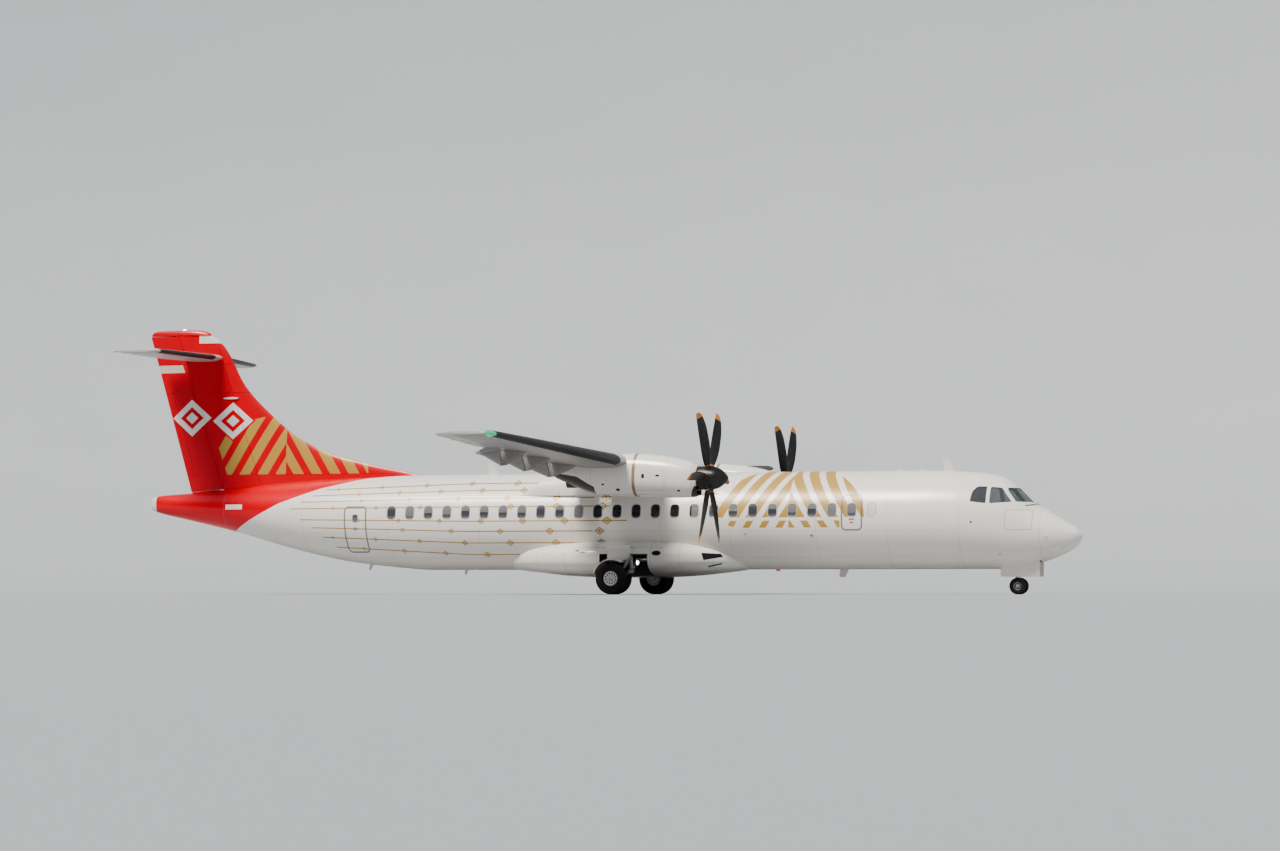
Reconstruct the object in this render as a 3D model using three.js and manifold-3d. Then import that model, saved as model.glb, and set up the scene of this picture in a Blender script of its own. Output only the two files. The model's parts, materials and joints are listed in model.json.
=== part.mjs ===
// A high-wing twin turboprop airliner, parked on its gear, as an assembly of separate solids.
// Millimetres. +X is forward, +Y is port, +Z is up, and Z = 0 is the ground under the tyres.
// A station is a distance aft of the nose tip, and X = 0 lies half way along the aircraft.

import * as THREE from 'three';
import { mergeVertices } from 'three/addons/utils/BufferGeometryUtils.js';
import Module from 'manifold-3d';

const wasm = await Module();
wasm.setup();

// Driving dimensions

const LENGTH = 27170;
const SPAN = 27050;
const HEIGHT = 7650;
const NOSE_X = LENGTH / 2;
const FIT = 0.3; // gap where two pieces touch
const CLEARANCE = 8; // gap round a moving piece
const PIN_FIT = 0.9; // radial gap between a pin and its bore
const HULL_SIDES = 24;
const DETAIL_SIDES = 12;
const WHEEL_SIDES = 24;
const ROUND_SIDES = 20;

// Fuselage sections: [station, top, bottom, half width, height of the widest point]
const HULL = [
  [0, 1605, 1495, 55, 1550],
  [100, 1745, 1335, 215, 1550],
  [300, 1880, 1175, 370, 1555],
  [550, 2035, 1045, 530, 1570],
  [800, 2190, 945, 665, 1600],
  [1300, 2490, 800, 880, 1660],
  [1700, 2880, 725, 1030, 1750],
  [2000, 3110, 695, 1125, 1820],
  [2350, 3225, 680, 1220, 1890],
  [2700, 3285, 680, 1290, 1940],
  [3300, 3325, 680, 1370, 1990],
  [4300, 3355, 680, 1432, 2020],
  [18400, 3360, 680, 1432, 2020],
  [19600, 3340, 765, 1395, 2070],
  [20900, 3300, 915, 1310, 2140],
  [22740, 3205, 1310, 1030, 2320],
  [24560, 3020, 1810, 670, 2450],
  [26000, 2890, 2140, 340, 2530],
  [26900, 2820, 2350, 140, 2590],
  [27100, 2760, 2430, 60, 2600],
];

// Fuselage barrels, split where the real ones are joined: [name, front station, rear station]
const BARRELS = [
  ['flight_deck_shell', 0, 3100],
  ['fuselage_forward', 3100, 7000],
  ['fuselage_centre', 7000, 16600],
  ['fuselage_rear', 16600, 22000],
  ['tail_cone', 22000, 27100],
];

// Doors and hatches: [name, side, centre station, sill, width, height, [low and high corner radius],
// thickness, gap]. The corners are tight at a hinge, where rounded ones would foul the frame.
const PANELS = [
  ['passenger_door', 1, 20460, 1200, 820, 1750, [14, 120], 90, CLEARANCE],
  ['cargo_door', 1, 3960, 1140, 1275, 1570, [110, 14], 90, CLEARANCE],
  ['service_door', -1, 20300, 1200, 610, 1220, [90, 90], 60, FIT],
  ['emergency_exit_left', 1, 6000, 1750, 510, 910, [100, 100], 60, FIT],
  ['emergency_exit_right', -1, 6000, 1750, 510, 910, [100, 100], 60, FIT],
];

// Hollows: [barrel, front station, rear station, y of each side, bottom, top, thickness of the wall].
// The baggage bay and the vestibule lie behind the hinged doors. A doorway leads on to the cabin's rear end.
const ROOMS = [
  ['fuselage_forward', 3280, 4640, [-900, 1500], [1140, 2760], 90],
  ['fuselage_rear', 20000, 20920, [-500, 1500], [1200, 2990], 90],
  ['fuselage_rear', 19950, 20001, [-230, 230], [1200, 2990], 90],
  ['fuselage_rear', 16680, 19951, [-1500, 1500], [1200, 3400], 90],
  ['tail_cone', 21990, 25200, [-1500, 1500], [0, 4000], 60],
];

// Door hinges along the skin: pin and barrel sizes
const DOOR_PIN_RADIUS = 12;
const DOOR_BARREL_RADIUS = 26;
const DOOR_HINGE_INSET = 8;

// Near its hinge a door keeps only its skin at the rear edge, to pass the frame where the fuselage tapers.
const HINGE_RELIEF = { height: 170, width: 64, skin: 22 };

// Flight deck: shell, floor, and the panes as side outlines [station, height] or front outlines [y, height]
const DECK_FRONT = 1250;
const DECK_REAR = 3040;
const DECK_INSET = 60;
const DECK_FLOOR = 1400;
const GLASS_OUTER_INSET = 4;
const GLASS_THICKNESS = 24;
const SIDE_PANES = [
  ['side_window_front', [[1650, 2430], [2375, 2440], [2375, 2905], [1990, 2875]]],
  ['side_window_rear', [[2455, 2445], [2860, 2500], [2800, 2790], [2720, 2890], [2455, 2905]]],
];
const WINDSCREEN = [[40, 2470], [690, 2415], [600, 2790], [500, 2850], [40, 2850]];

// Wing sections on one side: [y, leading edge station, chord, height of the chord line, thickness ratio]
const WING_JOINT_Y = 4680;
const WING_ROOT_CHORD = 2570;
const WING_TIP_CHORD = 1590;
const WING_HEIGHT = 3530;
const WING_NOSE = 11370;
const WING_TIP_Y = 13180;
const DIHEDRAL = THREE.MathUtils.degToRad(2.5);
const WING_TIP_RISE = (WING_TIP_Y - WING_JOINT_Y) * Math.tan(DIHEDRAL);
const WING_CAMBER = 0.022;
const WING = [
  [0, WING_NOSE, WING_ROOT_CHORD, WING_HEIGHT, 0.18],
  [WING_JOINT_Y, WING_NOSE, WING_ROOT_CHORD, WING_HEIGHT, 0.18],
  [WING_TIP_Y, WING_NOSE + 620, WING_TIP_CHORD, WING_HEIGHT + WING_TIP_RISE, 0.13],
  [SPAN / 2, WING_NOSE + 900, 1150, WING_HEIGHT + WING_TIP_RISE + 15, 0.07],
];

// Wing surfaces: chord fraction where they start, and their ends along the span
const FLAP_START = 0.7;
const FLAPS = [
  ['flap_inboard', 1600, 3400, [2750]],
  ['flap_outboard', 4770, 9600, [5400, 7500, 9350]],
];
const FLAP_REST = THREE.MathUtils.degToRad(15);
const FLAP_HINGE_CHORD = 0.715;
const FLAP_HINGE_DROP = 430;
const FLAP_GAP = 12;
const AILERON = [9900, 13150];
const AILERON_HINGE_CHORD = 0.7;
const SPOILER = [7900, 9500];
const SPOILER_CHORD = [0.585, 0.685];
const SPOILER_DEPTH = 34;
const SPOILER_NOSE = 14;
const SPOILER_PIN = 5;

// Nacelle sections: [station, top, bottom, half width]
const ENGINE_Y = 4050;
const SHAFT_Z = 3075;
const NACELLE = [
  [9510, 3400, 2610, 350],
  [9600, 3470, 2575, 420],
  [10000, 3600, 2560, 505],
  [10600, 3700, 2570, 545],
  [11200, 3750, 2600, 555],
  [12300, 3740, 2660, 545],
  [13000, 3670, 2905, 490],
  [13400, 3600, 3080, 430],
  [13850, 3530, 3330, 300],
];
const INTAKE = { half: 230, bottom: 2635, top: 2760, rear: 9950 };
const EXHAUST = { front: 12500, radius: 185, mid: 3020, rear: 13900 };
const ENGINE = { front: 9800, length: 2130, half: 300, bottom: 2790, top: 3300 };

// Propeller: plane of rotation, hub and blades [radius, chord, thickness, pitch in degrees, lead of the mid line]
const PROPELLER_RADIUS = 1965;
const PROPELLER_STATION = 9220;
const SPINNER = { tip: 8700, joint: 9080, rear: 9490, radius: 315 };
const SHAFT_RADIUS = 70;
const BLADE_COUNT = 6;
const BLADE_PHASE = THREE.MathUtils.degToRad(30);
const BLADE = [
  [250, 110, 100, 62, 0],
  [420, 170, 70, 60, 0],
  [700, 250, 44, 52, 12],
  [1050, 285, 30, 44, 22],
  [1400, 290, 22, 37, 18],
  [1750, 240, 16, 32, -10],
  [1900, 180, 12, 30, -40],
  [PROPELLER_RADIUS, 90, 8, 29, -75],
];

// Wing root fairing over the fuselage: [station, top, half width at its lower edge]
const ROOT_FAIRING_BASE = 2720;
const ROOT_FAIRING = [
  [9500, 3385, 1236],
  [10400, 3470, 1262],
  [11300, 3640, 1290],
  [12600, 3660, 1300],
  [13900, 3625, 1290],
  [14800, 3500, 1258],
  [15500, 3385, 1236],
];

// Landing gear fairing under the fuselage: [station, half width, bottom, top]
const GEAR_FAIRING = [
  [9150, 560, 690, 1130],
  [9500, 980, 640, 1300],
  [10200, 1420, 560, 1430],
  [11000, 1740, 490, 1510],
  [11900, 1870, 460, 1540],
  [13200, 1870, 460, 1530],
  [14200, 1700, 500, 1490],
  [15100, 1330, 590, 1400],
  [15800, 880, 665, 1280],
];
const GEAR_FAIRING_POWER = 0.75;
const WHEEL_BAY = { front: 11600, rear: 12960, inner: 1000, top: 1100 };

// Main gear, each side: stations and places of the leg's joints
const TRACK_HALF = 2050;
const MAIN_AXLE_STATION = 12490;
const MAIN_TYRE = { radius: 432, width: 254, rim: 205, spacing: 430 };
const TRUNNION = { station: 12000, y: 1480, z: 960, radius: 70 };
const KNUCKLE = { station: 11975, z: 640, radius: 58 };
const SHOCK = { station: 12010, z: 1010, foot: 12340, footZ: 500, radius: 40 };
const AXLE_RADIUS = 42;
const HUB_LUG = { radius: 78, width: 130 };
const LEG_DOOR = {
  y: 1890, thickness: 28, front: 12080, rear: 12720, low: 930, high: 1330,
  arch: 500, lip: 34, reach: 420, arms: [12250, 12620],
};

// Nose gear
const NOSE_AXLE_STATION = 1720;
const NOSE_TYRE = { radius: 225, width: 190, rim: 110, spacing: 340 };
const NOSE_BAY = { front: 1060, rear: 2180, half: 290, top: 1250 };
const NOSE_LEG = { radius: 74, bottom: 660 };
const NOSE_PISTON = { radius: 48, top: 1050 };
const NOSE_LUG = { radius: 62, width: 100 };
const NOSE_AXLE = 26;
const NOSE_DOOR = { front: 1100, rear: 2160, low: 478, y: 305, thickness: 22 };

// Fin sections: [height, leading edge station]. Its rear edge, hinge line and thickness are straight.
const FIN = [
  [2900, 17000],
  [3450, 19250],
  [3720, 20520],
  [3990, 21560],
  [4400, 22440],
  [5170, 23440],
  [5940, 24180],
  [7160, 24900],
  [7460, 25250],
];
const FIN_HALF = { low: [3000, 124], high: [7460, 100] };
// Share of the way from the leading edge to the hinge, and share of the fin's half thickness there
const FIN_SHAPE = [[0, 0], [0.02, 0.2], [0.08, 0.42], [0.22, 0.7], [0.42, 0.92], [0.68, 1], [1.04, 0.84]];
const HINGE_PART = 0.858;
const RUDDER_HINGE = { low: [3000, 24870], high: [7460, 26400] };
const RUDDER_EDGE = { low: [3000, 25890], high: [7450, LENGTH] };
const RUDDER_FOOT = 2900;
const RUDDER_TOP = 7438;
const RUDDER_TOP_GAP = 22;
const RUDDER_FOOT_GAP = 26;
const RUDDER_LOWEST = 200;
const FOOT_PIN_TOP = 3085;
const RUDDER_GAP = 12;
const FIN_CAP = [
  [7458, 25250, LENGTH - 10, 0.12],
  [7560, 25420, LENGTH - 90, 0.11],
  [7610, 25720, LENGTH - 330, 0.08],
];
const BEACON = { station: 26120, radius: 45, base: 7560 };

// Tailplane sections on one side: [y, leading edge station, chord, height, thickness ratio]
const TAILPLANE = [
  [0, 24900, 1850, 6800, 0.12],
  [3480, 25335, 1425, 6800, 0.11],
  [3655, 25480, 1200, 6800, 0.07],
];
const ELEVATOR = [430, 3440];
const ELEVATOR_HINGE_CHORD = 0.7;
const RUDDER_BAY = { front: 26030, half: 426 };

// Colours of the finishes
const PAINT_WHITE = { color: 0xece8e1, roughness: 0.3, metalness: 0 };
const PAINT_RED = { color: 0xc4110f, roughness: 0.3, metalness: 0 };
const PAINT_GREY = { color: 0x9a9a98, roughness: 0.45, metalness: 0 };
const BLACK = { color: 0x16161a, roughness: 0.5, metalness: 0 };
const RUBBER = { color: 0x1b1a1a, roughness: 0.85, metalness: 0 };
const BARE_METAL = { color: 0xb4b6b8, roughness: 0.35, metalness: 0.9 };
const ENGINE_METAL = { color: 0x6a6762, roughness: 0.5, metalness: 0.8 };
const GLASS = { color: 0x1c242c, roughness: 0.08, metalness: 0 };
const DECK_GREY = { color: 0x3b3d40, roughness: 0.7, metalness: 0 };

// Geometry helpers

const atStation = (station) => NOSE_X - station;
const lerp = THREE.MathUtils.lerp;
const SIDES = [['left', 1], ['right', -1]];

// A solid from a closed three.js geometry, and a geometry from a solid.
function solidOf(geometry) {
  const bare = geometry.clone();
  bare.deleteAttribute('normal');
  bare.deleteAttribute('uv');
  const merged = mergeVertices(bare);
  return new wasm.Manifold(new wasm.Mesh({
    numProp: 3,
    vertProperties: new Float32Array(merged.attributes.position.array),
    triVerts: new Uint32Array(merged.index.array),
  }));
}

function geometryOf(solid) {
  const mesh = solid.getMesh();
  const geometry = new THREE.BufferGeometry();
  geometry.setAttribute('position', new THREE.BufferAttribute(new Float32Array(mesh.vertProperties), 3));
  geometry.setIndex(new THREE.BufferAttribute(new Uint32Array(mesh.triVerts), 1));
  return geometry;
}

const join = (first, ...rest) => rest.reduce((sum, piece) => sum.add(piece), first);
const cut = (first, ...rest) => rest.reduce((left, piece) => left.subtract(piece), first);

// Closing faces of a ring, as places in the ring: a fan for a convex ring, clipped ears for a hollow one.
const fanCap = (ring) => ring.slice(2).map((_, i) => [0, i + 1, i + 2]);

function earCap(ring) {
  const spread = [0, 1, 2].map((axis) => {
    const values = ring.map((point) => point[axis]);
    return Math.max(...values) - Math.min(...values);
  });
  const flat = spread.indexOf(Math.min(...spread));
  const [u, v] = [0, 1, 2].filter((axis) => axis !== flat);
  const outline = ring.map((point) => new THREE.Vector2(point[u], point[v]));
  const triangles = THREE.ShapeUtils.triangulateShape(outline, []);
  return triangles.map((triangle) => [...triangle].sort((p, q) => p - q));
}

function signedVolume(positions, index) {
  const [a, b, c] = [new THREE.Vector3(), new THREE.Vector3(), new THREE.Vector3()];
  let volume = 0;
  for (let i = 0; i < index.length; i += 3) {
    a.fromArray(positions, 3 * index[i]);
    b.fromArray(positions, 3 * index[i + 1]);
    c.fromArray(positions, 3 * index[i + 2]);
    volume += a.dot(b.cross(c)) / 6;
  }
  return volume;
}

// A closed solid through planar rings of equal length, each listed the same way round.
function loft(rings, capOf = fanCap) {
  const count = rings[0].length;
  const index = [];
  for (let row = 0; row + 1 < rings.length; row++) {
    for (let i = 0; i < count; i++) {
      const a = row * count + i;
      const b = row * count + (i + 1) % count;
      index.push(a, b, b + count, a, b + count, a + count);
    }
  }
  const last = (rings.length - 1) * count;
  for (const [p, q, r] of capOf(rings[0])) {
    index.push(r, q, p);
  }
  for (const [p, q, r] of capOf(rings[rings.length - 1])) {
    index.push(p + last, q + last, r + last);
  }
  const positions = rings.flat(2);
  if (signedVolume(positions, index) < 0) {
    index.reverse();
  }
  const geometry = new THREE.BufferGeometry();
  geometry.setAttribute('position', new THREE.Float32BufferAttribute(positions, 3));
  geometry.setIndex(index);
  return solidOf(geometry);
}

// A box between two stations, two y places and two heights.
function block([front, rear], [y0, y1], [z0, z1]) {
  const geometry = new THREE.BoxGeometry(rear - front, Math.abs(y1 - y0), z1 - z0);
  geometry.translate(atStation((front + rear) / 2), (y0 + y1) / 2, (z0 + z1) / 2);
  return solidOf(geometry);
}

// A round bar between two [x, y, z] points, tapered where the radii differ.
function bar(from, to, radius, endRadius = radius, sides = DETAIL_SIDES) {
  const start = new THREE.Vector3(...from);
  const span = new THREE.Vector3(...to).sub(start);
  const geometry = new THREE.CylinderGeometry(endRadius, radius, span.length(), sides);
  geometry.translate(0, span.length() / 2, 0);
  const up = new THREE.Vector3(0, 1, 0);
  geometry.applyQuaternion(new THREE.Quaternion().setFromUnitVectors(up, span.clone().normalize()));
  geometry.translate(...start);
  return solidOf(geometry);
}

// A plate with a flat outline, run through along Y: the outline is a Shape in X and Z.
function plateAcross(shape, y0, y1) {
  const geometry = new THREE.ExtrudeGeometry(shape, { depth: y1 - y0, bevelEnabled: false, curveSegments: 3 });
  geometry.rotateX(Math.PI / 2);
  geometry.translate(0, y1, 0);
  return solidOf(geometry);
}

const outlineOf = (points) => new THREE.Shape(points.map(([u, v]) => new THREE.Vector2(u, v)));

function roundedOutline(x, z, width, height, low, high = low) {
  const [w, h] = [width / 2, height / 2];
  const shape = new THREE.Shape();
  shape.moveTo(x - w + low, z - h);
  shape.lineTo(x + w - low, z - h);
  shape.absarc(x + w - low, z - h + low, low, -Math.PI / 2, 0, false);
  shape.absarc(x + w - high, z + h - high, high, 0, Math.PI / 2, false);
  shape.absarc(x - w + high, z + h - high, high, Math.PI / 2, Math.PI, false);
  shape.absarc(x - w + low, z - h + low, low, Math.PI, 1.5 * Math.PI, false);
  return shape;
}

// Row of a table at a value of its first column, with the other columns in proportion between two rows.
function rowAt(table, value) {
  const next = table.findIndex((row) => row[0] >= value);
  const upper = next < 0 ? table.length - 1 : Math.max(next, 1);
  const [low, high] = [table[upper - 1], table[upper]];
  const share = (value - low[0]) / (high[0] - low[0]);
  return low.map((number, column) => lerp(number, high[column], share));
}

const valuesBetween = (table, start, end) => [
  start,
  ...table.map((row) => row[0]).filter((value) => value > start && value < end),
  end,
];

// An oval ring across the aircraft; a power under 1 squares its corners.
function ovalRing(station, y, half, top, bottom, wide, power = 1, sides = HULL_SIDES) {
  return Array.from({ length: sides }, (_, i) => {
    const angle = (2 * Math.PI * i) / sides;
    const [c, s] = [Math.cos(angle), Math.sin(angle)];
    const rise = s > 0 ? top - wide : wide - bottom;
    return [
      atStation(station),
      y + half * Math.sign(c) * Math.abs(c) ** power,
      wide + rise * Math.sign(s) * Math.abs(s) ** power,
    ];
  });
}

// Fuselage

function hullRing(station, inset = 0) {
  const [, top, bottom, half, wide] = rowAt(HULL, station);
  return ovalRing(station, 0, half - inset, top - inset, bottom + inset, wide);
}

function hullBetween(front, rear, inset = 0) {
  return loft(valuesBetween(HULL, front, rear).map((station) => hullRing(station, inset)));
}

function skinY(station, z, inset = 0) {
  const [, top, bottom, half, wide] = rowAt(HULL, station);
  const rise = z > wide ? top - wide : wide - bottom;
  return (half - inset) * Math.sqrt(1 - ((z - wide) / rise) ** 2);
}

// A skin panel and the hole that it fills, both cut from the hull by an outline seen from the side.
// The edges stand square to the skin where it tapers, so that a door swings out clear of its frame.
function skinPanel([, side, station, sill, width, height, radii, thickness, gap]) {
  const reach = width / 2 + thickness;
  const skin = (depth) => cut(
    hullBetween(station - reach, station + reach, -gap),
    hullBetween(station - reach - 1, station + reach + 1, depth),
  );
  const taper = (skinY(station - width / 2, sill) - skinY(station + width / 2, sill)) / width;
  const upright = (z) => taper * (skinY(station, z) - skinY(station, sill));
  const through = (margin) => {
    const outline = roundedOutline(
      0, sill + height / 2, width + 2 * margin, height + 2 * margin, ...radii.map((radius) => radius + margin),
    );
    const points = spaced(outline.getPoints(3), taper ? 300 : height).map(([x, z]) => [x + upright(z), z]);
    return plateAcross(outlineOf(points), -700, 500)
      .rotate([0, 0, side * THREE.MathUtils.radToDeg(Math.atan(taper))])
      .translate(atStation(station), side * skinY(station, sill), 0);
  };
  const panel = through(0)
    .intersect(hullBetween(station - reach, station + reach))
    .subtract(hullBetween(station - reach - 1, station + reach + 1, thickness));
  return { panel, hole: through(gap).intersect(skin(thickness + gap)) };
}

// A hinged door's axis: the low or high edge of its outline, just under the skin.
function doorHinge([, side, station, sill, width, height], atTop) {
  const z = atTop ? sill + height : sill;
  const end = (along) => [atStation(along), side * (skinY(along, z) - DOOR_HINGE_INSET), z];
  return [end(station - width / 2 - 40), end(station + width / 2 + 40)];
}

// A plate with a flat outline, run through fore and aft: the outline is a Shape in Y and Z.
function plateAlong(shape, front, rear) {
  const geometry = new THREE.ExtrudeGeometry(shape, { depth: rear - front, bevelEnabled: false, curveSegments: 3 });
  const [x, y, z] = [new THREE.Vector3(1, 0, 0), new THREE.Vector3(0, 1, 0), new THREE.Vector3(0, 0, 1)];
  geometry.applyMatrix4(new THREE.Matrix4().makeBasis(y, z, x));
  geometry.translate(atStation(rear), 0, 0);
  return solidOf(geometry);
}

// The points of a closed outline, with more between them wherever they are further apart than a step.
function spaced(points, step) {
  return points.flatMap((point, i) => {
    const next = points[(i + 1) % points.length];
    const parts = Math.max(Math.ceil(point.distanceTo(next) / step - 0.01), 1);
    return Array.from({ length: parts }, (_, k) => point.clone().lerp(next, k / parts).toArray());
  });
}

// An outline grown by a margin about its middle.
function grown(points, margin) {
  const mid = [0, 1].map((axis) => points.reduce((sum, point) => sum + point[axis], 0) / points.length);
  const size = Math.max(...points.map(([u, v]) => Math.hypot(u - mid[0], v - mid[1])));
  const scale = 1 + (2 * margin) / size;
  return points.map(([u, v]) => [mid[0] + (u - mid[0]) * scale, mid[1] + (v - mid[1]) * scale]);
}

// The aircraft, and the one way in which a solid joins it.

const aircraft = new THREE.Group();

function add(name, solid, finish, parent = aircraft) {
  const mesh = new THREE.Mesh(geometryOf(solid), new THREE.MeshStandardMaterial(finish));
  mesh.name = name;
  parent.add(mesh);
  return mesh;
}

// A group whose own origin is a place on the aircraft, for a piece that is drawn about its pivot.
function pivotAt(x, y, z) {
  const group = new THREE.Group();
  group.position.set(x, y, z);
  aircraft.add(group);
  return group;
}

// Foil sections, used by the wing, the tail and the fin

const FOIL_STEPS = [0, 0.02, 0.08, 0.22, 0.42, 0.68, 1];
const EDGE_HALF = 3;

function foilAt(fraction, chord, ratio, camber) {
  const shape = 0.2969 * Math.sqrt(fraction) - 0.126 * fraction - 0.3516 * fraction ** 2
    + 0.2843 * fraction ** 3 - 0.1015 * fraction ** 4;
  const half = 5 * ratio * chord * shape + EDGE_HALF * fraction;
  const mean = 4 * camber * chord * fraction * (1 - fraction);
  return [mean + half, mean - half];
}

// The ring of a foil as [distance aft, rise] pairs, grown by a margin.
function foilOutline(chord, ratio, camber, margin = 0) {
  const point = (fraction, face) => {
    const rise = foilAt(fraction, chord, ratio, camber)[face];
    return [fraction * chord + margin * (2 * fraction - 1), rise + margin * (face === 0 ? 1 : -1) * Math.sqrt(fraction)];
  };
  const steps = FOIL_STEPS;
  return [...steps.toReversed().map((step) => point(step, 0)), ...steps.slice(1).map((step) => point(step, 1))];
}

// A flat surface from a table of [y, leading edge station, chord, height, thickness ratio].
function flatSurface(table, places, camber, margin = 0) {
  return loft(places.map((y) => {
    const [, nose, chord, height, ratio] = rowAt(table, Math.abs(y));
    return foilOutline(chord, ratio, camber, margin).map(([aft, rise]) => [atStation(nose + aft), y, height + rise]);
  }), earCap);
}

// The space between two chord fractions and two heights off the chord line, for a stretch of the span.
function chordSpace(table, side, [y0, y1], [from, to], [low, high]) {
  const ring = (y) => {
    const [, nose, chord, height] = rowAt(table, y);
    const [front, rear] = [atStation(nose + from * chord), atStation(nose + to * chord)];
    return [[front, low], [rear, low], [rear, high], [front, high]].map(([x, z]) => [x, side * y, height + z]);
  };
  return loft([ring(y0), ring(y1)]);
}

const ANY_HEIGHT = [-700, 700];
const widened = ([from, to], margin) => [from - margin, to + margin];

// A hinge point inside a flat surface, half way through its thickness, and its radius there.
function foilHinge(table, side, y, fraction, camber) {
  const [, nose, chord, height, ratio] = rowAt(table, y);
  const [upper, lower] = foilAt(fraction, chord, ratio, camber);
  return { point: [atStation(nose + fraction * chord), side * y, height + (upper + lower) / 2], radius: (upper - lower) / 2 };
}

// A point a distance beyond the first of two points, on the line through them.
function beyond(from, to, distance) {
  const start = new THREE.Vector3(...from);
  const direction = start.clone().sub(new THREE.Vector3(...to)).normalize();
  return start.addScaledVector(direction, distance).toArray();
}

// Cuts a surface along a hinge. The moving piece has a round nose about the hinge and a bore at each end,
// space is what the fixed part loses, and pins are what it gains. behind(margin) is all that lies aft of the
// hinge line, and slab(margin) is the stretch of the surface that moves.
const HINGE_PIN = 12;
const PIN_LENGTH = 45;
const OVERRUN = 30;

function hingedSurface(whole, [start, finish], radii, behind, slab, gap) {
  const round = (margin) => bar(
    beyond(start, finish, OVERRUN), beyond(finish, start, OVERRUN), radii[0] + margin, radii[1] + margin, ROUND_SIDES,
  );
  const atEnds = (outer, inner, radius) => [[start, finish], [finish, start]].map(([from, to]) => (
    bar(beyond(from, to, outer), beyond(from, to, -inner), radius)
  ));
  const bores = atEnds(40, PIN_LENGTH + CLEARANCE, HINGE_PIN + PIN_FIT);
  return {
    moving: cut(join(behind(OVERRUN), round(0)).intersect(slab(0)).intersect(whole), ...bores),
    space: join(behind(OVERRUN), round(gap)).intersect(slab(CLEARANCE)),
    pins: atEnds(60, PIN_LENGTH, HINGE_PIN),
  };
}

const hullSkin = hullBetween(0, 27100, -FIT);

function buildFuselage() {
  const barrels = Object.fromEntries(BARRELS.map(([name, front, rear]) => {
    const joint = [front === 0 ? 0 : FIT / 2, rear === 27100 ? 0 : FIT / 2];
    return [name, hullBetween(front + joint[0], rear - joint[1])];
  }));
  const barrelAt = (station) => BARRELS.find(([, front, rear]) => station > front && station < rear)[0];

  for (const [barrel, front, rear, across, heights, wall] of ROOMS) {
    const room = block([front, rear], across, heights).intersect(hullBetween(front - 9, rear + 9, wall));
    barrels[barrel] = barrels[barrel].subtract(room);
  }
  for (const row of PANELS) {
    const [name, , station, sill, width, height, , , gap] = row;
    const barrel = barrelAt(station);
    let { panel, hole } = skinPanel(row);
    if (gap === CLEARANCE) {
      const atTop = name === 'cargo_door';
      const [start, finish] = doorHinge(row, atTop);
      const rearEdge = station + width / 2;
      const nearHinge = atTop ? [sill + height - HINGE_RELIEF.height, sill + height] : [sill, sill + HINGE_RELIEF.height];
      const relief = hullBetween(rearEdge - 100, rearEdge + 100, HINGE_RELIEF.skin)
        .intersect(block([rearEdge - HINGE_RELIEF.width, rearEdge + 100], [0, 1700], nearHinge));
      panel = cut(panel, relief);
      const inward = (distance) => [beyond(start, finish, -distance), beyond(finish, start, -distance)];
      const edge = 40;
      hole = join(hole, bar(...inward(edge - CLEARANCE), DOOR_BARREL_RADIUS + CLEARANCE));
      panel = join(panel, bar(...inward(edge), DOOR_BARREL_RADIUS))
        .subtract(bar(start, finish, DOOR_PIN_RADIUS + PIN_FIT));
      barrels[barrel] = join(cut(barrels[barrel], hole), bar(start, finish, DOOR_PIN_RADIUS));
    } else {
      barrels[barrel] = cut(barrels[barrel], hole);
    }
    add(name, panel, PAINT_WHITE);
  }

  const cabin = hullBetween(DECK_FRONT, DECK_REAR, DECK_INSET)
    .intersect(block([0, 4000], [-2000, 2000], [DECK_FLOOR, 4000]));
  const noseBay = block([NOSE_BAY.front, NOSE_BAY.rear], [-NOSE_BAY.half, NOSE_BAY.half], [0, NOSE_BAY.top]);
  const glass = cut(hullBetween(900, 3050, GLASS_OUTER_INSET), hullBetween(899, 3051, GLASS_OUTER_INSET + GLASS_THICKNESS));
  let shell = cut(barrels.flight_deck_shell, cabin, noseBay);
  for (const [side, sign] of SIDES) {
    const sideways = (points) => {
      const shape = outlineOf(points.map(([station, z]) => [atStation(station), z]));
      return sign > 0 ? plateAcross(shape, 200, 1700) : plateAcross(shape, -1700, -200);
    };
    const forwards = (points) => plateAlong(outlineOf(points.map(([y, z]) => [sign * y, z])), 900, 2150);
    for (const [name, points] of SIDE_PANES) {
      shell = cut(shell, sideways(points));
      add(`${name}_${side}`, sideways(grown(points, -FIT)).intersect(glass), GLASS);
    }
    shell = cut(shell, forwards(WINDSCREEN));
    add(`windscreen_${side}`, forwards(grown(WINDSCREEN, -FIT)).intersect(glass), GLASS);
  }
  barrels.flight_deck_shell = shell;

  const rudderPin = [rudderHingeAt(2890), rudderHingeAt(FOOT_PIN_TOP)];
  barrels.tail_cone = join(barrels.tail_cone, bar(...rudderPin, HINGE_PIN));
  barrels.fuselage_centre = cut(barrels.fuselage_centre, flatSurface(WING, [-2000, 2000], WING_CAMBER, FIT));
  for (const [name] of BARRELS) {
    add(name, barrels[name], name === 'tail_cone' ? PAINT_RED : PAINT_WHITE);
  }
}

// Flight deck fittings on one floor plate: panel, pedestal and two seats
const SEAT = { station: 2350, y: 430, width: 440, base: 1780, back: 2440 };
const PANEL_OUTLINE = [[1480, 1900], [1480, 2330], [1600, 2400], [1800, 2380], [1760, 2060], [1660, 1900]];

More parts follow.
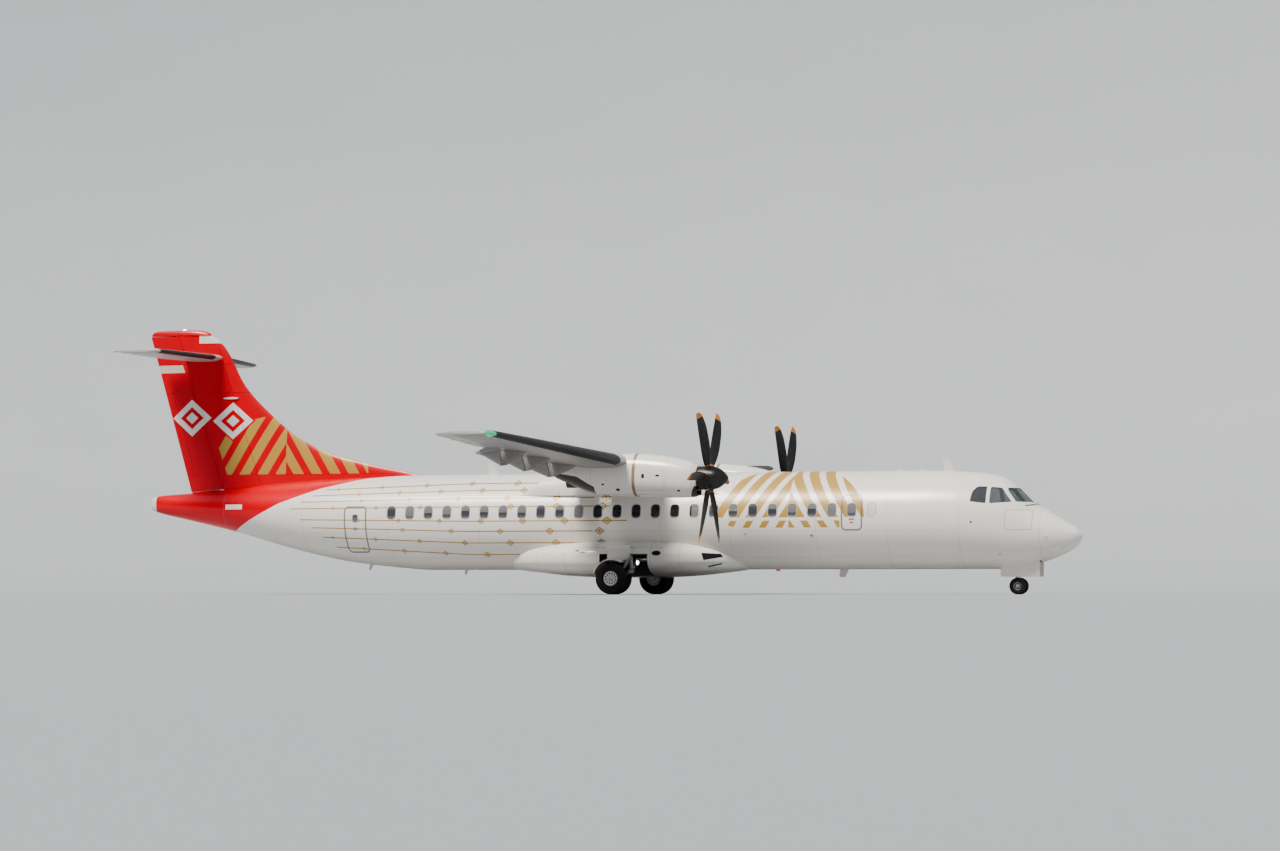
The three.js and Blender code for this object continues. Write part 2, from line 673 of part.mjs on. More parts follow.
function buildFlightDeck() {
  const floor = block([1500, 2950], [-640, 640], [DECK_FLOOR + FIT, DECK_FLOOR + 25]);
  const panelShape = outlineOf(PANEL_OUTLINE.map(([station, z]) => [atStation(station), z]));
  const panel = plateAcross(panelShape, -560, 560);
  const pedestal = block([1500, 2150], [-130, 130], [DECK_FLOOR + 20, 1950]);
  const seats = [1, -1].flatMap((side) => {
    const across = [side * SEAT.y - SEAT.width / 2, side * SEAT.y + SEAT.width / 2];
    const narrow = [side * SEAT.y - 110, side * SEAT.y + 110];
    return [
      block([SEAT.station - 180, SEAT.station + 180], narrow, [DECK_FLOOR + 20, SEAT.base - 90]),
      block([SEAT.station - 250, SEAT.station + 250], across, [SEAT.base - 100, SEAT.base]),
      block([SEAT.station + 170, SEAT.station + 290], across, [SEAT.base - 20, SEAT.back]),
    ];
  });
  add('flight_deck_fittings', join(floor, panel, pedestal, ...seats), DECK_GREY);
}

// Wing, flaps, ailerons, spoilers

const FAIRING_HALF = 48;
const HINGE_EAR = { radius: 36, inner: 22, outer: 44, tongue: 18 };
const FLAP_PIN = 14;

function flapHinge(side, y) {
  const [, nose, chord, height] = rowAt(WING, y);
  return [atStation(nose + FLAP_HINGE_CHORD * chord), side * y, height - FLAP_HINGE_DROP];
}

// The two halves of the fairing under the wing at one flap hinge, as they lie with the flap up.
function flapFairing(side, y) {
  const [, nose, chord, height] = rowAt(WING, y);
  const [hx, , hz] = flapHinge(side, y);
  const x = (fraction) => atStation(nose + fraction * chord);
  const split = FLAP_GAP / 2;
  const plate = (points, y0, y1) => plateAcross(outlineOf(points), Math.min(y0, y1), Math.max(y0, y1));
  const across = (half) => [side * y - half, side * y + half];
  const front = plate(
    [[x(0.36), height - 60], [x(0.5), hz + 140], [hx + 110, hz - 20], [hx + split, hz - 40], [hx + split, height]],
    ...across(FAIRING_HALF),
  );
  const rear = plate(
    [[hx - split, height], [hx - split, hz - 40], [hx - 60, hz - 30], [x(0.93), height - 90], [x(0.97), height - 5]],
    ...across(FAIRING_HALF),
  );
  const boss = (radius, y0, y1, sides) => bar([hx, y0, hz], [hx, y1, hz], radius, radius, sides);
  const around = boss(HINGE_EAR.radius + CLEARANCE, side * y - 60, side * y + 60, 8);
  const ears = [-1, 1].flatMap((hand) => {
    const reach = [side * y + hand * HINGE_EAR.inner, side * y + hand * HINGE_EAR.outer];
    const web = [[hx, hz - 30], [hx + 90, hz - 12], [hx + 90, hz + 30], [hx, hz + 30]];
    return [boss(HINGE_EAR.radius, ...reach, 8), plate(web, ...reach)];
  });
  const pin = boss(FLAP_PIN, side * y - HINGE_EAR.outer, side * y + HINGE_EAR.outer);
  const tongueReach = [side * y - HINGE_EAR.tongue, side * y + HINGE_EAR.tongue];
  const web = [[hx, hz - 30], [hx - 90, hz - 20], [hx - 90, hz + 30], [hx, hz + 30]];
  return {
    fixed: join(cut(front, around), ...ears, pin),
    moving: join(cut(rear, around), boss(HINGE_EAR.radius, ...tongueReach, 8), plate(web, ...tongueReach))
      .subtract(boss(FLAP_PIN + PIN_FIT, side * y - 60, side * y + 60)),
  };
}

function buildWing() {
  const box = {
    centre: flatSurface(WING, [-WING_JOINT_Y, WING_JOINT_Y], WING_CAMBER),
    left: flatSurface(WING, [WING_JOINT_Y + FIT, WING_TIP_Y, SPAN / 2], WING_CAMBER),
    right: flatSurface(WING, [-WING_JOINT_Y - FIT, -WING_TIP_Y, -SPAN / 2], WING_CAMBER),
  };
  for (const [side, sign] of SIDES) {
    for (const [name, y0, y1, fairings] of FLAPS) {
      const part = name === 'flap_inboard' ? 'centre' : side;
      const whole = box[part];
      let flap = whole.intersect(chordSpace(WING, sign, [y0, y1], [FLAP_START, 1.2], ANY_HEIGHT));
      const cove = (heights) => chordSpace(
        WING, sign, widened([y0, y1], CLEARANCE), [FLAP_START - FLAP_GAP / WING_ROOT_CHORD, 1.2], heights,
      );
      const underFlap = foilAt(FLAP_START, WING_ROOT_CHORD, WING[0][4], WING_CAMBER)[1] - FLAP_GAP;
      let wing = cut(whole, cove(ANY_HEIGHT));
      for (const y of fairings) {
        const { fixed, moving } = flapFairing(sign, y);
        wing = join(wing, cut(fixed, cove([underFlap, ANY_HEIGHT[1]])));
        flap = join(flap, moving);
      }
      box[part] = wing;
      const [from, to] = [flapHinge(sign, y0), flapHinge(sign, y1)].map((point) => new THREE.Vector3(...point));
      const pivot = pivotAt(...from);
      pivot.setRotationFromAxisAngle(to.clone().sub(from).normalize(), -sign * FLAP_REST);
      add(`${name}_${side}`, flap.translate(-from.x, -from.y, -from.z), PAINT_GREY, pivot);
    }

    const hinges = AILERON.map((y) => foilHinge(WING, sign, y, AILERON_HINGE_CHORD, WING_CAMBER));
    const aileron = hingedSurface(
      box[side],
      hinges.map(({ point }) => point),
      hinges.map(({ radius }) => radius),
      (margin) => chordSpace(WING, sign, widened(AILERON, margin), [AILERON_HINGE_CHORD, 1.3], ANY_HEIGHT),
      (margin) => chordSpace(WING, sign, widened(AILERON, margin), [0.4, 1.2], [-600, 600]),
      CLEARANCE,
    );
    box[side] = join(cut(box[side], aileron.space), ...aileron.pins);
    add(`aileron_${side}`, aileron.moving, PAINT_GREY);
  }
  for (const [side, sign] of SIDES) {
    box[side] = addSpoiler(box[side], side, sign);
  }
  add('wing_centre', box.centre, PAINT_GREY);
  add('wing_outer_left', box.left, PAINT_GREY);
  add('wing_outer_right', box.right, PAINT_GREY);
}

// The roll spoiler ahead of the outboard flap: a panel of the upper skin, hinged along its front edge.
function addSpoiler(wing, side, sign) {
  const pivot = (y) => {
    const [, nose, chord, height, ratio] = rowAt(WING, y);
    const rise = foilAt(SPOILER_CHORD[0], chord, ratio, WING_CAMBER)[0];
    return [atStation(nose + SPOILER_CHORD[0] * chord), sign * y, height + rise - SPOILER_NOSE];
  };
  const [start, finish] = SPOILER.map(pivot);
  const bed = (margin) => {
    const ring = (y) => {
      const [, nose, chord, height, ratio] = rowAt(WING, y);
      const drop = (fraction) => height + foilAt(fraction, chord, ratio, WING_CAMBER)[0] - SPOILER_DEPTH - margin;
      const [front, rear] = [nose + SPOILER_CHORD[0] * chord, nose + SPOILER_CHORD[1] * chord + margin];
      return [
        [atStation(front), sign * y, drop(SPOILER_CHORD[0])],
        [atStation(rear), sign * y, drop(SPOILER_CHORD[1])],
        [atStation(rear), sign * y, height + 400],
        [atStation(front), sign * y, height + 400],
      ];
    };
    return loft([ring(SPOILER[0] - margin), ring(SPOILER[1] + margin)]);
  };
  const nose = (margin) => bar(
    beyond(start, finish, margin), beyond(finish, start, margin), SPOILER_NOSE + margin,
  );
  const bore = (from, to) => bar(beyond(from, to, 30), beyond(from, to, -38), SPOILER_PIN + PIN_FIT);
  const pin = (from, to) => bar(beyond(from, to, 40), beyond(from, to, -30), SPOILER_PIN);
  const moving = cut(join(bed(0), nose(0)).intersect(wing), bore(start, finish), bore(finish, start));
  add(`spoiler_${side}`, moving, PAINT_GREY);
  return join(cut(wing, bed(CLEARANCE), nose(CLEARANCE)), pin(start, finish), pin(finish, start));
}

function buildRootFairing() {
  const rings = ROOT_FAIRING.map(([station, top, half]) => {
    const arc = Array.from({ length: 13 }, (_, i) => {
      const angle = (Math.PI * i) / 12;
      return [
        atStation(station),
        half * Math.cos(angle),
        ROOT_FAIRING_BASE + (top - ROOT_FAIRING_BASE) * Math.sin(angle) ** 0.75,
      ];
    });
    return arc;
  });
  const wing = flatSurface(WING, [-2000, 2000], WING_CAMBER, FIT);
  add('wing_root_fairing', cut(loft(rings), hullSkin, wing), PAINT_WHITE);
}

// Nacelles, engines and propellers

function buildNacelle(side, sign) {
  const y = sign * ENGINE_Y;
  const rings = NACELLE.map(([station, top, bottom, half]) => (
    ovalRing(station, y, half, top, bottom, (top + bottom) / 2, 0.85, ROUND_SIDES)
  ));
  const wing = flatSurface(WING, [y - 620, y + 620], WING_CAMBER, FIT);
  const bay = block(
    [ENGINE.front, ENGINE.front + ENGINE.length + 60],
    [y - ENGINE.half - 40, y + ENGINE.half + 40],
    [ENGINE.bottom, ENGINE.top + 20],
  );
  const bore = bar([atStation(9400), y, SHAFT_Z], [atStation(9900), y, SHAFT_Z], SHAFT_RADIUS + PIN_FIT, SHAFT_RADIUS + PIN_FIT, 24);
  const intake = plateAlong(
    roundedOutline(y, (INTAKE.bottom + INTAKE.top) / 2, 2 * INTAKE.half, INTAKE.top - INTAKE.bottom, 60), 9400, INTAKE.rear,
  );
  const exhaust = bar(
    [atStation(EXHAUST.rear), y, EXHAUST.mid], [atStation(EXHAUST.front), y, EXHAUST.mid], EXHAUST.radius, EXHAUST.radius, 24,
  );
  add(`nacelle_${side}`, cut(loft(rings), wing, bay, bore, intake, exhaust), PAINT_WHITE);
  const engine = block(
    [ENGINE.front + FIT, ENGINE.front + ENGINE.length],
    [y - ENGINE.half, y + ENGINE.half],
    [ENGINE.bottom + FIT, ENGINE.top],
  );
  add(`engine_${side}`, engine, ENGINE_METAL);
}

// One blade along +Z about the shaft, which runs along X: a loft of twisted foils.
function blade() {
  return loft(BLADE.map(([radius, chord, thickness, pitch, lead]) => {
    const angle = THREE.MathUtils.degToRad(pitch);
    return Array.from({ length: 8 }, (_, i) => {
      const turn = (2 * Math.PI * i) / 8;
      const along = (chord / 2) * Math.cos(turn) + lead;
      const through = (thickness / 2) * Math.sin(turn);
      return [
        along * Math.sin(angle) + through * Math.cos(angle),
        along * Math.cos(angle) - through * Math.sin(angle),
        radius,
      ];
    });
  }));
}

function buildPropeller(side, sign) {
  const hubX = atStation(PROPELLER_STATION);
  const pivot = pivotAt(hubX, sign * ENGINE_Y, SHAFT_Z);
  const along = (station) => [atStation(station) - hubX, 0, 0];
  const hub = bar(along(SPINNER.rear), along(SPINNER.joint), SPINNER.radius, SPINNER.radius * 0.94, ROUND_SIDES);
  const shaft = bar(along(ENGINE.front - 10), along(SPINNER.rear - 20), SHAFT_RADIUS, SHAFT_RADIUS, 24);
  const one = blade();
  const blades = Array.from({ length: BLADE_COUNT }, (_, i) => (
    one.rotate([THREE.MathUtils.radToDeg(BLADE_PHASE) + (360 * i) / BLADE_COUNT, 0, 0])
  ));
  add(`propeller_${side}`, join(hub, shaft, ...blades), BLACK, pivot);

  const length = SPINNER.joint - SPINNER.tip - FIT;
  const profile = Array.from({ length: 6 }, (_, i) => {
    const share = i / 5;
    return new THREE.Vector2(SPINNER.radius * 0.94 * Math.sqrt(1 - share ** 1.8), share * length);
  });
  profile[5].x = 0;
  const cone = new THREE.LatheGeometry([new THREE.Vector2(0, 0), ...profile], ROUND_SIDES);
  cone.rotateZ(-Math.PI / 2);
  cone.translate(along(SPINNER.joint - FIT)[0], 0, 0);
  add(`spinner_${side}`, solidOf(cone), BLACK, pivot);
}

// Tail

// The station or size on a straight line between two heights.
const onLine = ({ low, high }, z) => lerp(low[1], high[1], (z - low[0]) / (high[0] - low[0]));

const rudderHingeAt = (z) => [atStation(onLine(RUDDER_HINGE, z)), 0, z];
const hingeRadius = (z) => onLine(FIN_HALF, z) * HINGE_PART;

function finRing([z, nose]) {
  const hinge = onLine(RUDDER_HINGE, z);
  const face = FIN_SHAPE.map(([share, part]) => [atStation(lerp(nose, hinge, share)), onLine(FIN_HALF, z) * part]);
  face.push([atStation(onLine(RUDDER_EDGE, z)), EDGE_HALF]);
  const port = face.toReversed().map(([x, y]) => [x, y, z]);
  return [...port, ...face.slice(1).map(([x, y]) => [x, -y, z])];
}

function uprightFoil(z, nose, tail, ratio) {
  return foilOutline(tail - nose, ratio, 0).map(([aft, rise]) => [atStation(nose + aft), rise, z]);
}

function buildTail() {
  const tips = TAILPLANE.slice(1).map(([y]) => y);
  const tailplaneAt = (margin) => (
    flatSurface(TAILPLANE, [...tips.map((y) => -y).toReversed(), 0, ...tips], 0, margin)
  );
  const finWhole = loft(FIN.map(finRing), earCap);

  const ends = [RUDDER_FOOT, RUDDER_TOP];
  const behind = (margin) => {
    const [low, high] = [ends[0] - RUDDER_LOWEST, ends[1] + margin];
    const shape = outlineOf([
      [rudderHingeAt(low)[0], low], [rudderHingeAt(high)[0], high], [-NOSE_X - 900, high], [-NOSE_X - 900, low],
    ]);
    return plateAcross(shape, -600, 600);
  };
  const slab = (margin) => block(
    [23000, 29000], [-500, 500], [ends[0] - (margin ? 150 : 0), ends[1] + (margin ? RUDDER_TOP_GAP : 0)],
  );
  const rudder = hingedSurface(
    finWhole, ends.map(rudderHingeAt), ends.map(hingeRadius), behind, slab, RUDDER_GAP,
  );
  const overHull = hullBetween(22800, 27100, -RUDDER_FOOT_GAP);
  const footBore = bar(rudderHingeAt(2850), rudderHingeAt(FOOT_PIN_TOP + 8), HINGE_PIN + PIN_FIT);
  add('rudder', cut(rudder.moving, overHull, footBore), PAINT_RED);

  const cap = loft(FIN_CAP.map(([z, nose, tail, ratio]) => uprightFoil(z, nose, tail, ratio)), earCap);
  const beacon = bar([atStation(BEACON.station), 0, BEACON.base], [atStation(BEACON.station), 0, HEIGHT], BEACON.radius);
  const lowCut = bar(rudderHingeAt(2850), rudderHingeAt(RUDDER_FOOT + 20), hingeRadius(RUDDER_FOOT) + RUDDER_GAP,
    hingeRadius(RUDDER_FOOT) + RUDDER_GAP, 24);
  const fin = join(cut(finWhole, rudder.space, lowCut), cap, beacon, rudder.pins[1]);
  add('fin', cut(fin, hullSkin, tailplaneAt(FIT)), PAINT_RED);

  let tailplane = cut(tailplaneAt(0), block([RUDDER_BAY.front, 28000], [-RUDDER_BAY.half, RUDDER_BAY.half], [6000, 7400]));
  for (const [side, sign] of SIDES) {
    const hinges = ELEVATOR.map((y) => foilHinge(TAILPLANE, sign, y, ELEVATOR_HINGE_CHORD, 0));
    const elevator = hingedSurface(
      tailplane,
      hinges.map(({ point }) => point),
      hinges.map(({ radius }) => radius),
      (margin) => chordSpace(TAILPLANE, sign, widened(ELEVATOR, margin), [ELEVATOR_HINGE_CHORD, 1.3], ANY_HEIGHT),
      (margin) => chordSpace(TAILPLANE, sign, widened(ELEVATOR, margin), [0.4, 1.2], [-600, 600]),
      CLEARANCE,
    );
    tailplane = join(cut(tailplane, elevator.space), elevator.pins[1]);
    add(`elevator_${side}`, elevator.moving, PAINT_WHITE);
  }
  add('tailplane', tailplane, PAINT_WHITE);
}

// Landing gear

// A wheel turned about the Y axis from [radius, y] pairs. A flat of it, at its full radius, faces down.
function turned(profile, sides) {
  const halfSide = Math.PI / sides;
  const points = profile.map(([radius, y]) => new THREE.Vector2(radius / Math.cos(halfSide), y));
  return solidOf(new THREE.LatheGeometry(points, sides, halfSide));
}

function tyre({ radius, width, rim }) {
  const half = width / 2;
  const bead = rim + FIT;
  const crown = [
    [bead, -half * 0.72], [rim + (radius - rim) * 0.45, -half], [radius * 0.94, -half * 0.82], [radius, -half * 0.42],
    [radius, half * 0.42], [radius * 0.94, half * 0.82], [rim + (radius - rim) * 0.45, half], [bead, half * 0.72],
  ];
  return turned([...crown, crown[0]], WHEEL_SIDES);
}

// Two rims on one axle, which turns in the lug of the leg.
function rimPair({ width, rim, spacing }, axle, lugHalf) {
  const [inner, outer] = [spacing / 2 - width * 0.36, spacing / 2 + width * 0.36];
  const half = [
    [axle, lugHalf + 2], [rim * 0.4, lugHalf + 2], [rim * 0.45, inner + 20], [rim, inner + 20],
    [rim, outer], [rim * 0.86, outer - 18], [rim * 0.5, outer - 40], [0, outer - 10],
  ];
  const mirrored = half.toReversed().map(([radius, y]) => [radius, -y]);
  return turned([...mirrored, ...half], WHEEL_SIDES);
}

function addWheels(name, sizes, axle, lugHalf, place) {
  const pivot = pivotAt(...place);
  add(`${name}_rims`, rimPair(sizes, axle, lugHalf), BARE_METAL, pivot);
  for (const [side, sign] of SIDES) {
    const mesh = add(`${name}_tyre_${side}`, tyre(sizes), RUBBER, pivot);
    mesh.position.y = (sign * sizes.spacing) / 2;
  }
}

function buildGearFairing() {
  const rings = GEAR_FAIRING.map(([station, half, bottom, top]) => (
    ovalRing(station, 0, half, top, bottom, (top + bottom) / 2, GEAR_FAIRING_POWER)
  ));
  const bays = SIDES.map(([, sign]) => block(
    [WHEEL_BAY.front, WHEEL_BAY.rear], [sign * WHEEL_BAY.inner, sign * 2400], [0, WHEEL_BAY.top],
  ));
  add('gear_fairing', cut(loft(rings), hullSkin, ...bays), PAINT_WHITE);
}

function buildMainGear(side, sign) {
  const y = sign * TRACK_HALF;
  const place = (station, along, z) => [atStation(station), sign * along, z];
  const axle = place(MAIN_AXLE_STATION, TRACK_HALF, MAIN_TYRE.radius);
  const knuckle = place(KNUCKLE.station, TRACK_HALF, KNUCKLE.z);
  const trunnion = place(TRUNNION.station, TRUNNION.y, TRUNNION.z);
  const shockTop = place(SHOCK.station, TRACK_HALF, SHOCK.z);
  const across = (station, z, half, radius) => bar(
    place(station, TRACK_HALF - half, z), place(station, TRACK_HALF + half, z), radius,
  );
  const arms = LEG_DOOR.arms.map((station) => block(
    [station - 25, station + 25],
    [sign * TRUNNION.y, sign * (LEG_DOOR.y - FIT)],
    [TRUNNION.z - 18, TRUNNION.z + 30],
  ));
  const barrel = [WHEEL_BAY.front + FIT, WHEEL_BAY.rear - FIT].map((station) => place(station, TRUNNION.y, TRUNNION.z));
  const leg = join(
    bar(...barrel, TRUNNION.radius),
    bar(trunnion, knuckle, 88, 64),
    bar(knuckle, axle, KNUCKLE.radius, 52),
    across(KNUCKLE.station, KNUCKLE.z, 72, KNUCKLE.radius + 12),
    bar(knuckle, shockTop, 50, 46),
    bar(shockTop, place(SHOCK.foot, TRACK_HALF, SHOCK.footZ), SHOCK.radius),
    across(MAIN_AXLE_STATION, MAIN_TYRE.radius, HUB_LUG.width / 2, HUB_LUG.radius),
    ...arms,
  );
  const bore = bar(place(MAIN_AXLE_STATION, TRACK_HALF - 120, MAIN_TYRE.radius),
    place(MAIN_AXLE_STATION, TRACK_HALF + 120, MAIN_TYRE.radius), AXLE_RADIUS + PIN_FIT, AXLE_RADIUS + PIN_FIT, 24);
  add(`main_leg_${side}`, cut(leg, bore), BARE_METAL);
  addWheels(`main_wheels_${side}`, MAIN_TYRE, AXLE_RADIUS, HUB_LUG.width / 2, [axle[0], y, axle[2]]);

  // The leg's door: an upper plate on the fairing's side and a lip curved over the tyre.
  const inner = LEG_DOOR.y;
  const arc = (radius, from, to) => Array.from({ length: 6 }, (_, i) => {
    const angle = THREE.MathUtils.degToRad(lerp(from, to, i / 5));
    return [MAIN_AXLE_STATION - radius * Math.cos(angle), MAIN_TYRE.radius + radius * Math.sin(angle)];
  });
  const lip = outlineOf([
    ...arc(LEG_DOOR.arch, 60, 165), ...arc(LEG_DOOR.arch + LEG_DOOR.lip, 165, 60),
  ].map(([station, z]) => [atStation(station), z]));
  const shade = plateAcross(lip, inner, inner + LEG_DOOR.reach);
  const plate = block([LEG_DOOR.front, LEG_DOOR.rear], [inner, inner + LEG_DOOR.thickness], [LEG_DOOR.low, LEG_DOOR.high]);
  const door = join(plate, shade);
  add(`main_leg_door_${side}`, sign > 0 ? door : door.mirror([0, 1, 0]), PAINT_WHITE);
}

function buildNoseGear() {
  const x = atStation(NOSE_AXLE_STATION);
  const axleZ = NOSE_TYRE.radius;
  const outer = bar([x, 0, NOSE_BAY.top - FIT], [x, 0, NOSE_LEG.bottom], NOSE_LEG.radius, NOSE_LEG.radius, 24);
  const brace = bar([x + 60, 0, NOSE_LEG.bottom + 140], [atStation(NOSE_BAY.rear - 40), 0, NOSE_BAY.top - 30], 34);
  const brackets = block([NOSE_BAY.rear - 120, NOSE_BAY.rear - FIT], [-60, 60], [NOSE_BAY.top - 90, NOSE_BAY.top - FIT]);
  const pocket = bar([x, 0, NOSE_PISTON.top + 4], [x, 0, NOSE_LEG.bottom - 50], NOSE_PISTON.radius + PIN_FIT, NOSE_PISTON.radius + PIN_FIT, 24);
  add('nose_leg', cut(join(outer, brace, brackets), pocket), BARE_METAL);

  const piston = bar([x, 0, NOSE_PISTON.top], [x, 0, axleZ], NOSE_PISTON.radius, NOSE_PISTON.radius, 24);
  const lug = bar([x, -NOSE_LUG.width / 2, axleZ], [x, NOSE_LUG.width / 2, axleZ], NOSE_LUG.radius);
  const bore = bar([x, -90, axleZ], [x, 90, axleZ], NOSE_AXLE + PIN_FIT, NOSE_AXLE + PIN_FIT, 24);
  const collar = bar([x, 0, NOSE_LEG.bottom - CLEARANCE], [x, 0, NOSE_LEG.bottom - 70], 70, 62, 24);
  add('nose_steering', cut(join(piston, lug, collar), bore), BARE_METAL);
  addWheels('nose_wheels', NOSE_TYRE, NOSE_AXLE, NOSE_LUG.width / 2, [x, 0, axleZ]);

  for (const [side, sign] of SIDES) {
    const span = [sign * NOSE_DOOR.y, sign * (NOSE_DOOR.y + NOSE_DOOR.thickness)];
    const plate = block([NOSE_DOOR.front, NOSE_DOOR.rear], span, [NOSE_DOOR.low, 1100]);
    add(`nose_door_${side}`, cut(plate, hullSkin), PAINT_WHITE);
  }
}

buildFuselage();
buildTail();
buildFlightDeck();
buildWing();
buildRootFairing();
buildGearFairing();
for (const [side, sign] of SIDES) {
  buildNacelle(side, sign);
  buildPropeller(side, sign);
  buildMainGear(side, sign);
}
buildNoseGear();

export default aircraft;
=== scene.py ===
# %% [markdown]
# # A turboprop airliner, dressed around its CAD frame
# The CAD model already has every piece in its real place and size, but with coarse, faceted skins.
# This lesson keeps that frame, and gives it smooth skins, paint, windows, lamps and small fittings.
# Lengths are metres. +X is forward, +Y is port, +Z is up, and the ground is Z = 0.
# A station is a distance aft of the nose tip, as aircraft makers measure.

# %% Load the frame
import json
import math
from functools import reduce

import bmesh
import bpy
import numpy as np
from mathutils import Matrix, Vector

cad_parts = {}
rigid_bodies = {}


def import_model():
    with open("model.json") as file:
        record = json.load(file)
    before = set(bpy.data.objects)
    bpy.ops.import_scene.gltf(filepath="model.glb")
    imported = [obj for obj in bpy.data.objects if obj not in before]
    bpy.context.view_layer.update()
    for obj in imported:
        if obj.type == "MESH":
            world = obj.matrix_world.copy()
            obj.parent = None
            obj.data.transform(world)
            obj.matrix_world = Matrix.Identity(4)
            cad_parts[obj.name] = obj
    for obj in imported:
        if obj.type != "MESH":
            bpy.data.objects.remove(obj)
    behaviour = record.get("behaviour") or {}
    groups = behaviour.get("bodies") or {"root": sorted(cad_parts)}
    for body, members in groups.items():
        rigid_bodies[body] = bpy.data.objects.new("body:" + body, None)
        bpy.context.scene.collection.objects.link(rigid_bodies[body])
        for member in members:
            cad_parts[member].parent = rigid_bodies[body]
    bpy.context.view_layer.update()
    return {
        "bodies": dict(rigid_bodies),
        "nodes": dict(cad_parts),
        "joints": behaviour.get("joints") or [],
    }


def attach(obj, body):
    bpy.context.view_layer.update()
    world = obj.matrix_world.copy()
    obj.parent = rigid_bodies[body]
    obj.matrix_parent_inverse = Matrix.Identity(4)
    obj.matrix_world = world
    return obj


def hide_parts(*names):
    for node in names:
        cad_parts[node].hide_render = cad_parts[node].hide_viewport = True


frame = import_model()
NOSE_X = 13.585
SIDES = (("left", 1), ("right", -1))


# %% [markdown]
# ## Camera, floor and light
# The photograph was taken from far away, low down, a little ahead of the starboard side.
# A long lens at floor level, a hundred metres off, gives the same nearly parallel view.
# A sweep of pale floor that curves up behind the aircraft keeps the backdrop plain.

# %% Camera and studio
PICTURE = (1280, 851)
CAMERA_AZIMUTH = math.radians(17.5)
CAMERA_DISTANCE = 100.0
CAMERA_HEIGHT = .15
PIXELS_PER_METRE = 35.9
AIM_OFFSET = (42, 61)  # the middle of the picture from the middle of the aircraft, in pixels


def placed(name, data):
    """A new object in the scene, made from its data."""
    made = bpy.data.objects.new(name, data)
    bpy.context.scene.collection.objects.link(made)
    return made


def turns(count):
    """Angles evenly round a circle."""
    return np.linspace(0, 2 * math.pi, count, endpoint=False)


def bands(count, width, rings):
    """Faces of bands between rings of points. With as many bands as rings, the last closes the loop."""
    return [(k * width + i, k * width + (i + 1) % width, (k + 1) % rings * width + (i + 1) % width,
        (k + 1) % rings * width + i) for k in range(count) for i in range(width)]


def new_piece(name, verts, faces):
    mesh = bpy.data.meshes.new(name)
    mesh.from_pydata([tuple(v) for v in verts], [], faces)
    mesh.validate()
    return placed(name, mesh)


def make_camera():
    data = bpy.data.cameras.new("camera")
    data.sensor_width = 36.0
    data.lens = data.sensor_width * PIXELS_PER_METRE * CAMERA_DISTANCE / PICTURE[0]
    data.clip_start, data.clip_end = 1.0, 2000.0
    camera = placed("camera", data)
    away = Vector((math.sin(CAMERA_AZIMUTH), -math.cos(CAMERA_AZIMUTH), 0))
    right = Vector((math.cos(CAMERA_AZIMUTH), math.sin(CAMERA_AZIMUTH), 0))
    camera.location = away * CAMERA_DISTANCE + Vector((0, 0, CAMERA_HEIGHT))
    aim = Vector((0, 0, 3.0 + AIM_OFFSET[1] / PIXELS_PER_METRE)) + right * (AIM_OFFSET[0]
        / PIXELS_PER_METRE)
    camera.rotation_euler = (aim - camera.location).to_track_quat("-Z", "Y").to_euler()
    bpy.context.scene.camera = camera
    return camera


def make_floor():
    """A round floor that sweeps up far away from the aircraft, as a studio's does."""
    rings = (20, 0), (60, 0), (140, 0), (190, 4), (225, 18), (250, 45), (262, 85), (266, 140)
    verts = [(r * math.cos(a), -r * math.sin(a), z - .002) for r, z in rings for a in turns(64)]
    middle = [(len(verts), (i + 1) % 64, i) for i in range(64)]
    floor = new_piece("studio_floor", [*verts, (0, 0, -.002)], bands(len(rings) - 1, 64, len(rings))
        + middle)
    floor.data.shade_smooth()
    return floor


def make_sun(name, toward, energy, angle, colour):
    """Even light from far away. It comes from the direction given, with soft-edged shadows."""
    data = bpy.data.lights.new(name, "SUN")
    data.energy, data.angle, data.color = energy, math.radians(angle), colour
    placed(name, data).rotation_euler = Vector(toward).to_track_quat("Z", "Y").to_euler()


make_camera()
studio_floor = make_floor()
make_sun("key_light", (-.3, -.66, 1.15), 3.9, 20, (1.0, .95, .87))
make_sun("fill_light", (.9, -.55, .35), .35, 60, (.92, .95, 1.0))
world = bpy.data.worlds.new("studio")
world.use_nodes = True
world.node_tree.nodes["Background"].inputs["Color"].default_value = (.78, .86, .98, 1)
world.node_tree.nodes["Background"].inputs["Strength"].default_value = .46
bpy.context.scene.world = world
bpy.context.scene.view_settings.view_transform = "AgX"
bpy.context.scene.view_settings.look = "AgX - Medium High Contrast"
print("camera lens: %.1f mm" % bpy.context.scene.camera.data.lens)


# %% [markdown]
# ## Shader maths as plain expressions
# A finish is built from positions on the piece: a mask for a stripe, a ring for a door's outline.
# One small class wraps a number socket, so that the maths of a mask reads as ordinary Python.
# Any other node comes from a single method that takes its type, its settings and its inputs.

# %% Socket class and finish builder
class Value:
    """A number in a material's node tree. Operators on it add Math nodes."""

    def __init__(self, finish, socket):
        self.finish = finish
        self.socket = socket

    def calc(self, operation, *others):
        made = self.finish.node("ShaderNodeMath", {"operation": operation},
            {0: self, **dict(enumerate(others, 1))})
        return Value(self.finish, made.outputs[0])

    def __rsub__(self, other):
        return (self * -1) + other

    def cycle(self, period):
        """Where this value is within its period, from 0 to 1."""
        return (self / period).calc("FRACT")

    def between(self, low, high):
        return (self > low) * (self < high)

    def soft(self, low, high):
        """0 below low, 1 above high, and smooth between."""
        made = self.finish.node("ShaderNodeMapRange", {"interpolation_type": "SMOOTHSTEP"}, {"Value": self,
            "From Min": low, "From Max": high})
        return Value(self.finish, made.outputs["Result"])


def math_method(operation):
    return lambda value, *others: value.calc(operation, *others)


